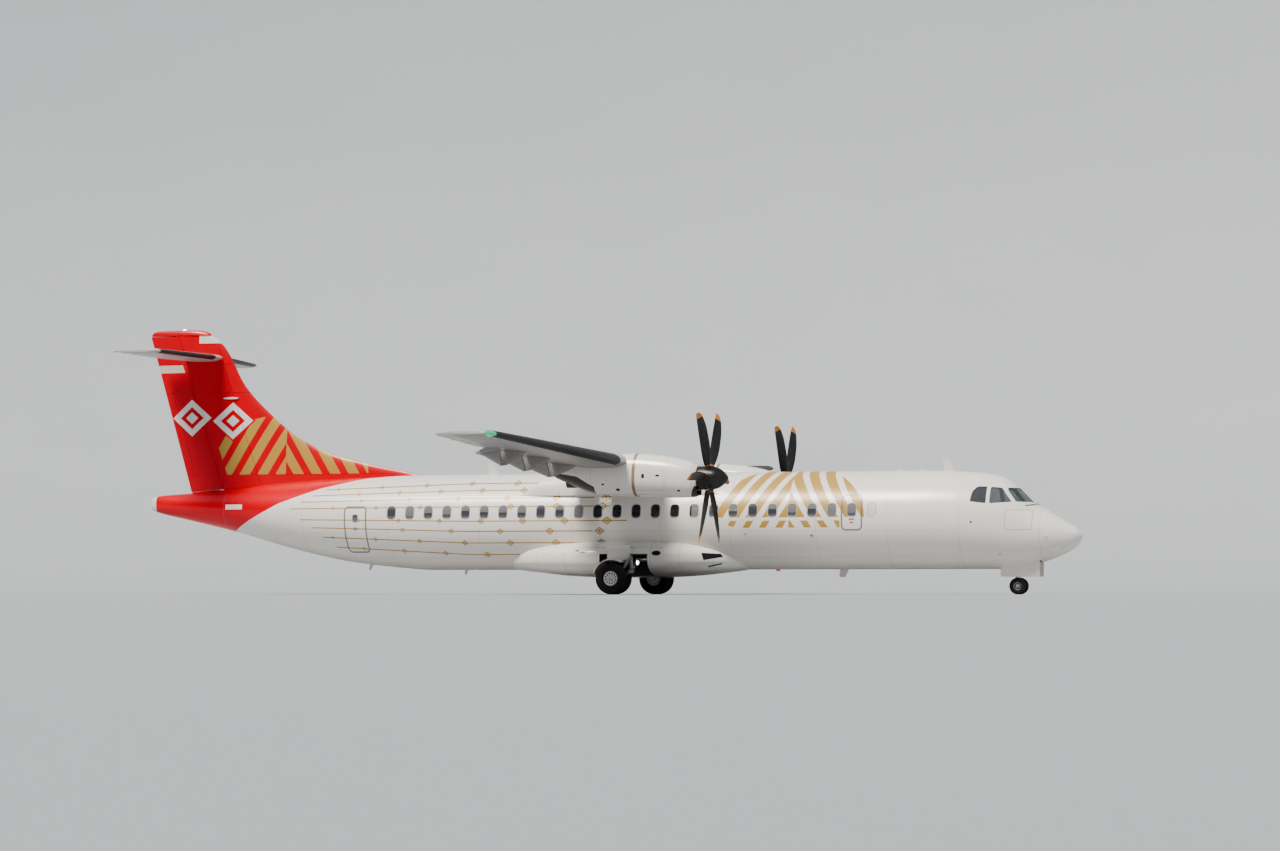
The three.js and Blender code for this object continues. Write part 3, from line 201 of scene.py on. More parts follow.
for method, operation in {"__add__": "ADD", "__radd__": "ADD", "__sub__": "SUBTRACT", "__mul__": "MULTIPLY",
        "__rmul__": "MULTIPLY", "__truediv__": "DIVIDE", "__gt__": "GREATER_THAN", "__lt__": "LESS_THAN",
        "__pow__": "POWER", "__abs__": "ABSOLUTE", "sqrt": "SQRT", "floor": "FLOOR", "least": "MINIMUM",
        "most": "MAXIMUM"}.items():
    setattr(Value, method, math_method(operation))


def any_of(*masks):
    """A mask that is 1 wherever one of the masks is."""
    return reduce(lambda first, second: first.most(second), masks)


def lines_at(value, places, half_width):
    """A mask of thin lines where a value is at one of some places."""
    return any_of(*(abs(value - at) < half_width for at in places))


class Finish:
    """A material under construction, with the piece's own coordinates as x, y and z."""

    def __init__(self, name):
        self.material = bpy.data.materials.new(name)
        self.material.use_nodes = True
        self.tree = self.material.node_tree
        self.shader = self.tree.nodes["Principled BSDF"]
        self.place = self.node("ShaderNodeTexCoord").outputs["Object"]
        parts = self.node("ShaderNodeSeparateXYZ", inputs={0: self.place})
        self.x, self.y, self.z = (Value(self, parts.outputs[k]) for k in range(3))

    def feed(self, socket, given):
        """Links a socket to a value or to another socket, or else sets it."""
        given = given.socket if isinstance(given, Value) else given
        if isinstance(given, bpy.types.NodeSocket):
            self.tree.links.new(given, socket)
        else:
            socket.default_value = (*given, 1) if socket.type == "RGBA" else given

    def node(self, kind, settings=None, inputs=None):
        made = self.tree.nodes.new(kind)
        for key, setting in (settings or {}).items():
            setattr(made, key, setting)
        for key, given in (inputs or {}).items():
            self.feed(made.inputs[key], given)
        return made

    def mix(self, factor, first, second):
        """A colour between two, by a factor from 0 to 1."""
        return self.node("ShaderNodeMix", {"data_type": "RGBA"}, {0: factor, 6: first,
            7: second}).outputs[2]

    def over(self, factor, colour):
        """Lays a colour over the body colour painted so far."""
        self.body = self.mix(factor, self.body, colour)

    def noise(self, scale, detail=3.0, *stretch):
        """Noise from 0 to 1, with features of about 1 / scale metres."""
        moved = self.node("ShaderNodeMapping", {}, {"Vector": self.place, "Scale": stretch or (1, 1,
            1)}).outputs[0]
        made = self.node("ShaderNodeTexNoise", {}, {"Vector": moved, "Scale": scale, "Detail": detail})
        return Value(self, made.outputs[0])

    def random_at(self, number, seed):
        """A fixed random number from 0 to 1 for each whole number."""
        made = self.node("ShaderNodeTexWhiteNoise", {"noise_dimensions": "1D"}, {"W": number + seed})
        return Value(self, made.outputs[0])

    def ramp(self, factor, stops):
        """A curve through (position, value) stops."""
        made = self.node("ShaderNodeValToRGB", {}, {0: factor})
        made.color_ramp.interpolation = "LINEAR"
        while len(made.color_ramp.elements) < len(stops):
            made.color_ramp.elements.new(.5)
        for element, (position, level) in zip(made.color_ramp.elements, sorted(stops)):
            element.position = position
            element.color = (level, level, level, 1)
        return Value(self, made.outputs[0])

    def done(self, roughness, height=None, depth=.004, strength=.35, coat=(0, .03), **sockets):
        """Feeds the shader: roughness, a bump, the clear coat's weight and roughness, and sockets by name."""
        given_all = {"Base_Color": self.body, "Roughness": roughness, "Coat_Weight": coat[0],
            "Coat_Roughness": coat[1]}
        for key, given in {**given_all, **sockets}.items():
            self.feed(self.shader.inputs[key.replace("_", " ")], given)
        if height is not None:
            bump = self.node("ShaderNodeBump", {}, {"Height": height, "Distance": depth,
                "Strength": strength})
            self.feed(self.shader.inputs["Normal"], bump.outputs[0])
        return self.material


print("finish builder ready")


# %% [markdown]
# ## The fuselage's shape
# A fuselage is a row of ovals along a line, so a table of sections describes all of it.
# Each row is a station, the top, the bottom, half the width, and the height of the widest point.
# A smooth curve through the rows gives the section anywhere. It never swings past a row's value,
# so the long middle stays a true cylinder, as it is on the real aircraft.

# %% Hull sections
HULL = np.array([(0, 1.605, 1.495, .055, 1.55), (.1, 1.745, 1.335, .215, 1.55), (.3, 1.88, 1.175, .37,
    1.555), (.55, 2.035, 1.045, .53, 1.57), (.8, 2.19, .945, .665, 1.6), (1.3, 2.49, .8, .88, 1.66),
    (1.7, 2.88, .725, 1.03, 1.75), (2.0, 3.11, .695, 1.125, 1.82), (2.35, 3.225, .68, 1.22, 1.89),
    (2.7, 3.285, .68, 1.29, 1.94), (3.3, 3.325, .68, 1.37, 1.99), (4.3, 3.355, .68, 1.432, 2.02),
    (18.4, 3.36, .68, 1.432, 2.02), (19.6, 3.34, .765, 1.395, 2.07), (20.9, 3.3, .915, 1.31, 2.14),
    (22.74, 3.205, 1.31, 1.03, 2.32), (24.56, 3.02, 1.81, .67, 2.45), (26.0, 2.89, 2.14, .34, 2.53),
    (26.9, 2.82, 2.35, .14, 2.59), (27.1, 2.76, 2.43, .06, 2.6)])
HULL_SIDES = 96


def smooth_curve(rows, at):
    """Values between a table's rows, by a cubic that stays within its neighbours."""
    rows = np.asarray(rows, float)
    x, y = rows[:, 0], rows[:, 1:]
    step = np.diff(x)[:, None]
    slope = np.diff(y, axis=0) / step
    tangent = np.zeros_like(y)
    both = slope[:-1] * slope[1:] > 0
    weight = 3 * (step[:-1] + step[1:])
    first, second = 2 * step[1:] + step[:-1], step[1:] + 2 * step[:-1]
    safe = np.where(both, slope[:-1], 1), np.where(both, slope[1:], 1)
    tangent[1:-1] = np.where(both, weight / (first / safe[0] + second / safe[1]), 0)
    tangent[0], tangent[-1] = slope[0], slope[-1]
    at = np.clip(np.atleast_1d(np.asarray(at, float)), x[0], x[-1])
    k = np.clip(np.searchsorted(x, at) - 1, 0, len(x) - 2)
    h = (x[k + 1] - x[k])[:, None]
    t = ((at - x[k])[:, None]) / h
    return ((2 * t ** 3 - 3 * t ** 2 + 1) * y[k] + (t ** 3 - 2 * t ** 2 + t) * h * tangent[k]
        + (3 * t ** 2 - 2 * t ** 3) * y[k + 1] + (t ** 3 - t ** 2) * h * tangent[k + 1])


def oval(station, y, half, top, bottom, wide, power=1.0, sides=HULL_SIDES):
    """A ring of points across the aircraft. A power under 1 squares its corners."""
    angle = 2 * np.pi * np.arange(sides) / sides
    c, s = np.cos(angle), np.sin(angle)
    rise = np.where(s > 0, top - wide, wide - bottom)
    return np.column_stack([np.full(sides, NOSE_X - station), y + half * np.sign(c) * np.abs(c) ** power,
        wide + rise * np.sign(s) * np.abs(s) ** power])


def hull_ring(station, inset=0.0):
    top, bottom, half, wide = smooth_curve(HULL, station)[0]
    return oval(station, 0, half - inset, top - inset, bottom + inset, wide)


def hull_y(station, z):
    """How far out the skin is at a station and a height."""
    top, bottom, half, wide = smooth_curve(HULL, station)[0]
    rise = top - wide if z > wide else wide - bottom
    return half * math.sqrt(max(1 - ((z - wide) / rise) ** 2, 0))


def ring_stations(front, rear):
    """Stations between two ends, close together where the shape changes."""
    found, at = [front], front
    while True:
        here = smooth_curve(HULL, [at, at + .05])
        change = np.abs(here[1] - here[0]).max()
        at += .06 if at < 4.4 else .12 if change > 1e-4 else .6
        if at > rear - .03:
            return found + [rear]
        found.append(at)


print("hull width at the wing: %.3f m" % (2 * hull_y(11, 2.02)))


# %% [markdown]
# ## Solids from rings, and cutting one with another
# A loft joins rings of points into a closed skin. Doors, bays and windows are then cut out of it
# with the Boolean modifier, as a panel is cut on the real airframe. Its Manifold solver is fast and
# exact for closed shapes. Each result is baked to a plain mesh at once.

# %% Lofts and cuts
def spot(station, y, z):
    return Vector((NOSE_X - station, y, z))


def drop(*pieces):
    for piece in pieces:
        bpy.data.objects.remove(piece)


def outward(piece):
    """Merges doubles and points every face out."""
    bm = bmesh.new()
    bm.from_mesh(piece.data)
    bmesh.ops.remove_doubles(bm, verts=bm.verts, dist=1e-6)
    bmesh.ops.recalc_face_normals(bm, faces=bm.faces)
    bm.to_mesh(piece.data)
    bm.free()
    return piece


def loft(name, rings):
    """A closed solid through rings of equal count, with a fan at each end."""
    rings = [np.asarray(r, float) for r in rings]
    count = len(rings[0])
    verts = [p for ring in rings for p in ring]
    faces = bands(len(rings) - 1, count, len(rings))
    for ring, start in ((rings[0], 0), (rings[-1], (len(rings) - 1) * count)):
        verts.append(ring.mean(axis=0))
        faces += [(len(verts) - 1, start + i, start + (i + 1) % count) for i in range(count)]
    return outward(new_piece(name, verts, faces))


def hull_between(front, rear, inset=0.0, name="hull"):
    return loft(name, [hull_ring(s, inset) for s in ring_stations(front, rear)])


def block(x, y, z):
    """A box between stations x, and between y and z."""
    corners = [(NOSE_X - a, b, c) for a in x for b in y for c in z]
    faces = [(0, 1, 3, 2), (4, 6, 7, 5), (0, 4, 5, 1), (2, 3, 7, 6), (0, 2, 6, 4), (1, 5, 7, 3)]
    return outward(new_piece("block", corners, faces))


def rounded(x, z, width, height, low, high=None):
    """Points of an upright rounded rectangle, with a radius for low corners and one for high."""
    high = low if high is None else high
    w, h, steps = width / 2, height / 2, 8
    corners = [(w - low, low - h, low, -90), (w - high, h - high, high, 0), (high - w, h - high, high, 90),
        (low - w, low - h, low, 180)]
    return [(x + cx + r * math.cos(math.radians(a + 90 * k / steps)), z + cz + r
        * math.sin(math.radians(a + 90 * k / steps))) for cx, cz, r, a in corners for k in range(steps + 1)]


def plate_across(points, y0, y1, name="plate"):
    """A plate with an outline of (x, z) points, between two y."""
    return loft(name, [[(x, y, z) for x, z in points] for y in (y0, y1)])


def combine(piece, cutters, operation, keep=False):
    for cutter in cutters:
        modifier = piece.modifiers.new("cut", "BOOLEAN")
        modifier.operation, modifier.solver, modifier.object = operation, "MANIFOLD", cutter
        bake(piece)
        if not keep:
            drop(cutter)
    return piece


def cut(piece, *cutters, keep=False):
    return combine(piece, cutters, "DIFFERENCE", keep)


def common(piece, *cutters, keep=False):
    return combine(piece, cutters, "INTERSECT", keep)


def joined(piece, *others):
    return combine(piece, others, "UNION")


def shape_of(piece):
    """A new mesh of what a piece and its modifiers make."""
    depsgraph = bpy.context.evaluated_depsgraph_get()
    return bpy.data.meshes.new_from_object(piece.evaluated_get(depsgraph), depsgraph=depsgraph)


def bake(piece):
    """Turns a piece and its modifiers into a plain mesh."""
    mesh = shape_of(piece)
    piece.modifiers.clear()
    old = piece.data
    piece.data = mesh
    mesh.name = piece.name
    bpy.data.meshes.remove(old)
    return piece


def twin(piece, name=None):
    other = piece.copy()
    other.data = piece.data.copy()
    other.name = name or piece.name + "_copy"
    bpy.context.scene.collection.objects.link(other)
    return other


def flipped(piece):
    """Turns a piece into its own mirror image, port for starboard."""
    piece.data.transform(Matrix.Scale(-1, 4, (0, 1, 0)))
    return outward(piece)


def smoothed(piece, degrees=32):
    """Smooth shading that stays crisp along edges sharper than an angle."""
    piece.data.shade_smooth()
    piece.data.set_sharp_from_angle(angle=math.radians(degrees))
    return piece


def fit(piece, name, slot, finish, *nodes, body="airframe", degrees=32):
    """Names a finished piece, paints it, and hands it to the frame in place of CAD nodes."""
    piece.name = piece.data.name = name
    piece.data.materials.clear()
    piece.data.materials.append(finish)
    smoothed(piece, degrees)
    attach(piece, body)
    if nodes:
        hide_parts(*nodes)
    return piece


def bearer(node):
    return node if node in frame["bodies"] else "airframe"


def dress(piece, node, slot, finish, fitting=fit, **how):
    """Fits a smooth piece in place of the CAD node that it is named after."""
    return fitting(piece, node + "_smooth", slot, finish, node, body=bearer(node), **how)


def bevelled(node, name, width, segments):
    """A merged copy of a CAD node's mesh, with soft edges."""
    piece = twin(frame["nodes"][node], name)
    piece.parent = None
    for key in list(piece.keys()):
        del piece[key]
    bevel = outward(piece).modifiers.new("bevel", "BEVEL")
    bevel.width, bevel.segments, bevel.limit_method = width, segments, "ANGLE"
    return bake(piece)


print("solids and cuts ready")


# %% [markdown]
# ## Paint
# Gloss paint over riveted sheet is never one flat white. It has faint panel joints, a little dirt
# that streaks aft along the belly, and a soft ripple that the light picks up.
# The colours are painted by position on the aircraft, so that a stripe runs unbroken from the
# fuselage on to a door. The ornament is a plain one of bars and lozenges.

# %% White fuselage paint with its red tail and gold ornament
WHITE = (.87, .825, .765)
RED = (.74, .004, .012)
DEEP_RED = (.46, .002, .01)
GOLD = (.56, .345, .085)
SEAM = (.3, .28, .26)
TRIM_GREY = (.17, .17, .175)
WINDOW_Z = 2.27
# Where the red of the tail ends: (height, station) down the side of the fuselage
RED_EDGE = ((1.5, 24.9), (1.73, 24.5), (2.11, 23.73), (2.56, 22.78), (2.98, 21.54), (3.26, 20.33),
    (3.42, 18.6))
FRAME_JOINTS = (1.02, 3.1, 5.05, 7.0, 9.4, 11.35, 13.9, 16.6, 19.35, 22.0, 24.6)
STRINGERS = (1.02, 1.72, 2.74)
PINSTRIPES = (1.1, 1.42, 1.74, 2.02, 2.42, 2.66, 2.88, 3.08)
DOOR_GAP = .008
SHUT_GAP = .003
DOORS = {  # side, station, sill, width, height, low and high corner radius, thickness, gap
    "passenger_door": (1, 20.46, 1.2, .82, 1.75, .02, .12, .09, DOOR_GAP),
    "cargo_door": (1, 3.96, 1.14, 1.275, 1.57, .11, .02, .09, DOOR_GAP),
    "service_door": (-1, 20.3, 1.2, .61, 1.22, .09, .09, .06, SHUT_GAP),
    "emergency_exit_left": (1, 6.0, 1.75, .51, .91, .1, .1, .06, SHUT_GAP),
    "emergency_exit_right": (-1, 6.0, 1.75, .51, .91, .1, .1, .06, SHUT_GAP)}


def box_distance(along, up, width, height, radius):
    """Distance from a rounded rectangle about the origin: negative inside, positive outside."""
    right = abs(along) - (width / 2 - radius)
    over = abs(up) - (height / 2 - radius)
    outside = (right.most(0) ** 2 + over.most(0) ** 2).sqrt()
    return outside + right.most(over).least(0) - radius


def lozenges(along, up, size):
    """Nested diamonds about the origin: a solid middle, a gap, and an outer band."""
    reach = abs(along) / size + abs(up) / (size * .72)
    return (reach < .45).most(reach.between(.62, 1.0))


def leaning_bars(along, up, period, share):
    """Bars that lean outward on both sides of a middle line."""
    hand = (along > 0) * 2 - 1
    return (along + up * .62 * hand).cycle(period) < share


def gilded(finish):
    return finish.mix(finish.noise(30, 2) * .5, GOLD, (.42, .27, .085))


def white_paint():
    finish = Finish("white_paint")
    station = NOSE_X - finish.x
    side = abs(finish.y)
    red_from = finish.ramp((finish.z - 1.5) / 2.0, [((z - 1.5) / 2.0, (s - 18) / 7) for z,
        s in RED_EDGE]) * 7 + 18
    red = (station > red_from).most(station > 24.9)

    # Gold bars over the forward windows, within half an oval, with a row of short ones below
    along, up = station - 7.75, finish.z - 2.08
    within = ((along / 2.1) ** 2 + (up / 1.45) ** 2 < 1) * (up > 0.0)
    bars = within * leaning_bars(along, up, .46, .6)
    under = along.between(-1.42, 1.95) * (finish.z.between(1.8, 1.99)) * ((along / 1.95) ** 2
        + (up / .42) ** 2 < 1)
    bars = bars.most(under * leaning_bars(along, up, .46, .42))

    # Pinstripes along the rear fuselage, threaded with lozenges that shrink towards the tail
    lines = []
    for k, height in enumerate(PINSTRIPES):
        climb = finish.z - height - (station - 17.0).most(0) * ((2.35 - height) * .045)
        lines.append((abs(climb) < .014) * station.between(12.3 + .5 * (k % 3), 22.4 - .35 * abs(k - 4)))
        spacing = 1.22 + .11 * (k % 3)
        along_line = ((station - .43 * k).cycle(spacing) - .5) * spacing
        lines.append(lozenges(along_line, climb, .155 - (station - 13.0) * .0115) * station.between(12.6,
            21.2))
    stripes = any_of(*lines)
    ornament = bars.most(stripes * station.between(12.3, 22.4)) * (1 - red)

    rings = []
    for hand, at, sill, width, height, low, high, *_ in DOORS.values():
        middle, radius = sill + height / 2, min(max(low, high), .1)
        edge = box_distance(station - at, finish.z - middle, width + .03, height + .03, radius + .015)
        rings.append(edge.between(-.016, .026) * (finish.y * hand > .2))
    outline = any_of(*rings)
    hatch = box_distance(station - 1.56, finish.z - 1.99, .68, .54, .06)
    pink = hatch.between(-.01, .01) * (side > .3) * (finish.z < 2.4)
    blank = box_distance(station - 5.45, finish.z - WINDOW_Z, .235, .355, .095)
    pink = pink.most(blank.between(-.009, .011) * (side > 1.0))
    pale_blank = (blank < 0) * (side > 1.0)
    red_mark = (box_distance(station - 6.0, finish.z - 1.93, .09, .035, .005) < 0) * (side > 1.0)

    # The lining of the cabin and the baggage bay, which lies well inside the skin
    front, back = (4.3 - station).most(0), (station - 18.4).most(0)
    wide = back * .048 - front * .03 + 2.02
    rise = (finish.z > wide) * (back * -.026) + 1.34 - back * .046
    from_axis = (finish.y / (1.432 - front * .062 - back * .0488)) ** 2 + ((finish.z - wide) / rise) ** 2
    lining = (from_axis < .912) * station.between(3.2, 21.0)

    stringers = lines_at(finish.z, STRINGERS, .004) * station.between(3.1, 22.0)
    joints = lines_at(station, FRAME_JOINTS, .005).most(stringers) * (side > .01)
    dirt = finish.noise(.9, 4, .35, 1.0, 1.6) * (1 - finish.z.soft(.7, 1.7))
    streak = finish.noise(7.0, 3, .08, 1.0, 1.0)
    tone = finish.noise(.55, 2)
    finish.body = finish.mix(tone * .3, WHITE, (.78, .755, .715))
    finish.over(dirt * streak * .75, (.36, .31, .26))
    finish.over(ornament, gilded(finish))
    finish.over(stripes * (1 - red) * .55, (.36, .2, .035))
    flame = finish.mix(finish.noise(.8, 3), RED, DEEP_RED)
    finish.over(red, finish.mix(tone * .4, RED, flame))
    plate = (box_distance(station - 24.25, finish.z - 2.48, .56, .14, .01) < 0) * (side > .2)
    finish.over(plate, WHITE)
    finish.over(outline * .88, TRIM_GREY)
    finish.over(pale_blank * .5, (.7, .6, .5))
    finish.over(pink * .6, (.62, .18, .14))
    finish.over(red_mark, RED)
    finish.over(joints * .42, SEAM)
    panel = (finish.z < 1.25) + (finish.z.cycle(.62) < .012).most(station.cycle(.55) < .012) * .5
    finish.over(lining, finish.mix(panel.least(1), (.52, .49, .44), (.16, .155, .15)))
    ripple = finish.noise(2.2, 2) * .6 - joints * .8
    return finish.done(.3 + dirt * .35 + ornament * .1, ripple, coat=(.25, .2))


# %% Plain paint with joints of its own
def panelled_paint(name, second, joints_at, width=.005):
    """White paint over panels, with joints at stations."""
    finish = Finish(name)
    joints = lines_at(NOSE_X - finish.x, joints_at, width)
    tone = finish.noise(.8, 3)
    streak = finish.noise(5.0, 4, .15, 1.0, 1.0)
    finish.body = finish.mix(tone * .35, WHITE, second)
    finish.over(streak.soft(.5, .8) * .22, tuple(.45 * c for c in second))
    finish.over(joints * .45, SEAM)
    return finish.done(streak * .12 + .3, finish.noise(2.0, 2) * .5 - joints * .8, coat=(.3, .15))


fuselage_paint = white_paint()
root_paint = panelled_paint("root_fairing_paint", (.77, .745, .7), (10.9, 12.5, 14.3))
door_inner_paint = panelled_paint("gear_door_paint", (.74, .72, .68), (12.4,), .003)
print("paints ready")


def floor_finish():
    """Pale, matt studio floor with the faintest mottling."""
    finish = Finish("studio_floor")
    cloud = finish.noise(.08, 3)
    finish.body = finish.mix(cloud, (.4, .415, .435), (.43, .445, .465))
    return finish.done(cloud * .1 + .75, finish.noise(3, 3), .002, .2)


studio_floor.data.materials.append(floor_finish())


# %% [markdown]
# ## The fuselage, its doors and its windows
# The fuselage is joined from barrels. Each is a smooth slice of the hull, cut by the same outlines
# as the CAD: two hinged doors, a service door, two exits and the flight deck's windows.
# A door keeps the skin's own curve, because it is the piece of skin that fills its hole.

# %% Barrels and doors
KNUCKLES = {"passenger_door": (.026, .034), "cargo_door": (.034, .049)}  # radius of the hinge and of its hole
ROOMS = {"fuselage_forward": [((3.28, 4.64), (-.9, 1.5), (1.14, 2.76), .09)],
    "fuselage_rear": [((20.0, 20.92), (-.5, 1.5), (1.2, 2.99), .09), ((19.95, 20.001), (-.23, .23),
    (1.2, 2.99), .09), ((16.68, 19.951), (-1.5, 1.5), (1.2, 3.4), .09)]}
BARRELS = {"flight_deck_shell": (0, 3.1), "fuselage_forward": (3.1, 7.0), "fuselage_centre": (7.0, 16.6),
    "fuselage_rear": (16.6, 22.0), "tail_cone": (22.0, 27.1)}


def door_prism(side, station, sill, width, height, low, high, margin, name="prism"):
    """An upright outline run through the skin, square to it where the fuselage tapers."""
    skin = [hull_y(station + d, sill) for d in (-width / 2, 0, width / 2)]
    taper = (skin[0] - skin[2]) / width
    shape = rounded(0, sill + height / 2, width + 2 * margin, height + 2 * margin, low + margin,
        high + margin)
    dense = []
    for (x0, z0), (x1, z1) in zip(shape, shape[1:] + shape[:1]):
        parts = max(1, int(abs(z1 - z0) / .12))
        dense += [(x0 + (x1 - x0) * k / parts, z0 + (z1 - z0) * k / parts) for k in range(parts)]
    points = [(x + taper * (hull_y(station, z) - skin[1]), z) for x, z in dense]
    prism = plate_across(points, -.7, .5, name)
    turn = Matrix.Rotation(side * math.atan(taper), 4, "Z")
    prism.data.transform(Matrix.Translation((NOSE_X - station, side * skin[1], 0)) @ turn)
    return prism


def bar(start, end, radius, end_radius=None, sides=24, name="bar"):
    """A round bar between two points."""
    start, end = Vector(start), Vector(end)
    turn = (end - start).to_track_quat("Z", "Y")
    rings = [[point + turn @ Vector((r * math.cos(a), r * math.sin(a), 0)) for a in turns(sides)] for point,
        r in ((start, radius), (end, radius if end_radius is None else end_radius))]
    return loft(name, rings)


def pin(middle, half, radius, sides=24):
    """A round bar straight across the aircraft, about a point."""
    across = Vector((0, half, 0))
    return bar(middle - across, middle + across, radius, sides=sides)


def past(start, finish, distance):
    start, finish = Vector(start), Vector(finish)
    return start + (start - finish).normalized() * distance


def door_hinge(door, width, beyond):
    """The front and rear ends of a door's hinge barrel, from the frame's own joint."""
    joint = next(row for row in frame["joints"] if row["child"] == door)
    start, aft = Vector(joint["pos_m"]), Vector(joint["axis"])
    aft *= -1 if aft.x > 0 else 1
    return start + aft * beyond, start + aft * (beyond + width)


def door_and_hole(name):
    side, station, sill, width, height, low, high, thickness, gap = DOORS[name]
    reach = width / 2 + thickness
    ends = (station - reach, station + reach)
    panel = door_prism(side, station, sill, width, height, low, high, 0, name)
    common(panel, hull_between(*ends))
    cut(panel, hull_between(ends[0] - .01, ends[1] + .01, thickness))
    hole = door_prism(side, station, sill, width, height, low, high, gap, "hole")
    common(hole, hull_between(*ends, -.02))
    cut(hole, hull_between(ends[0] - .01, ends[1] + .01, thickness + gap))
    return panel, hole


holes = {}
for door in DOORS:
    panel, hole = door_and_hole(door)
    barrel = "fuselage_forward" if DOORS[door][1] < 7 else "fuselage_rear"
    holes.setdefault(barrel, []).append(hole)
    if door in ("passenger_door", "cargo_door"):
        side, station, sill, width, height = DOORS[door][:5]
        hinge_z = sill if door == "passenger_door" else sill + height
        low = hinge_z - (0 if door == "passenger_door" else .17)
        relief = block((station + width / 2 - .064, station + width / 2 + .1), (0, 1.7), (low, low + .17))
        common(relief, hull_between(station, station + width / 2 + .12, .022))
        cut(panel, relief)
        front, rear = door_hinge(door, width, .04)
        knuckle, around = KNUCKLES[door]
        joined(hole, bar(past(front, rear, DOOR_GAP), past(rear, front, DOOR_GAP), around))
        joined(panel, bar(front, rear, knuckle))
    fit(panel, door + "_skin", "white_paint", fuselage_paint, door, body=bearer(door))

barrels = {}
for barrel, (front, rear) in BARRELS.items():
    gap = .00015
    skin = hull_between(front + (gap if front else 0), rear - (gap if rear < 27 else 0), name=barrel
        + "_skin")
    for x, y, z, wall in ROOMS.get(barrel, []):
        cut(skin, common(block(x, y, z), hull_between(x[0] - .01, x[1] + .01, wall)))
    cut(skin, *holes.get(barrel, []))
    barrels[barrel] = skin
print("barrels:", {name: len(piece.data.polygons) for name, piece in barrels.items()})


# %% [markdown]
# ## Flight deck glass
# The six panes are cut from the nose by flat outlines, two seen from ahead and four from the side.
# The glass is a real 24 mm layer with a hollow flight deck behind it, so seats show through it.
# A dark rubber seal runs round each pane.

# %% Panes, seals and the hollow nose
SIDE_PANES = {"side_window_front": [(1.755, 2.47), (2.31, 2.43), (2.31, 2.875), (2.03, 2.85)],
    "side_window_rear": [(2.405, 2.43), (2.82, 2.48), (2.77, 2.76), (2.65, 2.885), (2.405, 2.885)]}
WINDSCREEN = [(.04, 2.465), (.75, 2.475), (.68, 2.72), (.6, 2.85), (.04, 2.855)]


def softened(points, radius=.035):
    """An outline with its corners rounded off."""
    made = []
    count = len(points)
    for i in range(count):
        here, before, after = (Vector(points[k % count]) for k in (i, i - 1, i + 1))
        a, b = (before - here).normalized(), (after - here).normalized()
        start, end = here + a * radius, here + b * radius
        made += [tuple(start.lerp(here, t).lerp(here.lerp(end, t), t)) for t in np.linspace(0, 1, 4)]
    return made


def grown(points, margin):
    middle = sum((Vector(p) for p in points), Vector((0, 0))) / len(points)
    size = max((Vector(p) - middle).length for p in points)
    return [tuple(middle + (Vector(p) - middle) * (1 + 2 * margin / size)) for p in points]


def side_prism(points, sign):
    return plate_across([(NOSE_X - s, z) for s, z in points], sign * .2, sign * 1.7)


def front_prism(points, sign):
    rings = [[(NOSE_X - s, sign * y, z) for y, z in points] for s in (.9, 2.15)]
    return loft("front_prism", rings)


def skin_layer(front, rear, outer, inner):
    return cut(hull_between(front, rear, outer), hull_between(front - .01, rear + .01, inner))


def glass_finish():
    """Tinted glass, a little green ahead and brown at the sides."""
    finish = Finish("flight_deck_glass")
    tint_and_painted_reflection = finish.noise(3.0, 3)
    station = NOSE_X - finish.x
    side = finish.mix(tint_and_painted_reflection, (.1, .125, .155), (.145, .14, .135))
    finish.body = finish.mix(station - (finish.z - 2.47) * .72 < 1.71, side, finish.mix(tint_and_painted_reflection,
        (.055, .085, .075), (.08, .11, .1)))
    return finish.done(tint_and_painted_reflection * .05 + .03, coat=(1.0, .02), IOR=1.5, Alpha=.42)


def rubber_finish(name="window_seal", colour=(.035, .034, .033)):
    finish = Finish(name)
    grain = finish.noise(60, 3)
    finish.body = finish.mix(grain, colour, tuple(1.8 * c for c in colour))
    return finish.done(grain * .2 + .55, grain, .001, .3)


glass = glass_finish()
seal_rubber = rubber_finish()
deck = cut(common(hull_between(1.25, 3.04, .06), block((0, 4), (-2, 2), (1.4, 4))))
bay = block((1.06, 2.18), (-.29, .29), (0, 1.25))
nose = cut(barrels["flight_deck_shell"], deck, bay)
seals = []
for side, sign in SIDES:
    outlines = [(name, points, side_prism) for name, points in SIDE_PANES.items()]
    outlines.append(("windscreen", WINDSCREEN, front_prism))
    for name, points, prism in outlines:
        node = f"{name}_{side}"
        hole = softened(points)
        cut(nose, prism(hole, sign))
        pane = common(prism(softened(grown(points, -.0105), .03), sign), skin_layer(.9, 3.05, .004, .028))
        fit(pane, node + "_pane", "flight_deck_glass", glass, node)
        seal = common(prism(softened(grown(points, -.0005)), sign), skin_layer(.9, 3.05, .001, .03))
        cut(seal, prism(softened(grown(points, -.01), .03), sign))
        seals.append(seal)
    print("panes cut on the", side)
seal = joined(seals[0], *seals[1:])
fit(seal, "flight_deck_window_seals", "tyre_rubber", seal_rubber)


# %% Wing cut-out, and the finished barrels
WING_JOINT, ROOT_CHORD = 4.68, 2.57
WING = np.array([(0, 11.37, ROOT_CHORD, 3.53, .18), (WING_JOINT, 11.37, ROOT_CHORD, 3.53, .18),
    (13.18, 11.99, 1.59, 3.90112, .13), (13.525, 12.27, 1.15, 3.91612, .07)])
BARREL_SLOTS = {"tail_cone": "red_paint", "flight_deck_shell": "white_painted_alloy"}
for barrel, skin in barrels.items():
    dress(skin, barrel, BARREL_SLOTS.get(barrel, "white_paint"), fuselage_paint)
print("fuselage finished")


# %% Red fin paint with a white and gold ornament
FIN_LOZENGES = ((24.55, 4.97, .62), (25.84, 5.07, .62))  # station, height, half width of each
HINGE_SLOPE = .343  # how far aft the rudder's hinge runs for each metre up
HINGE_LINE = (24.87, 26.4)  # its stations at the two heights that follow
FIN_BASE, FIN_TOP = 3.0, 7.46


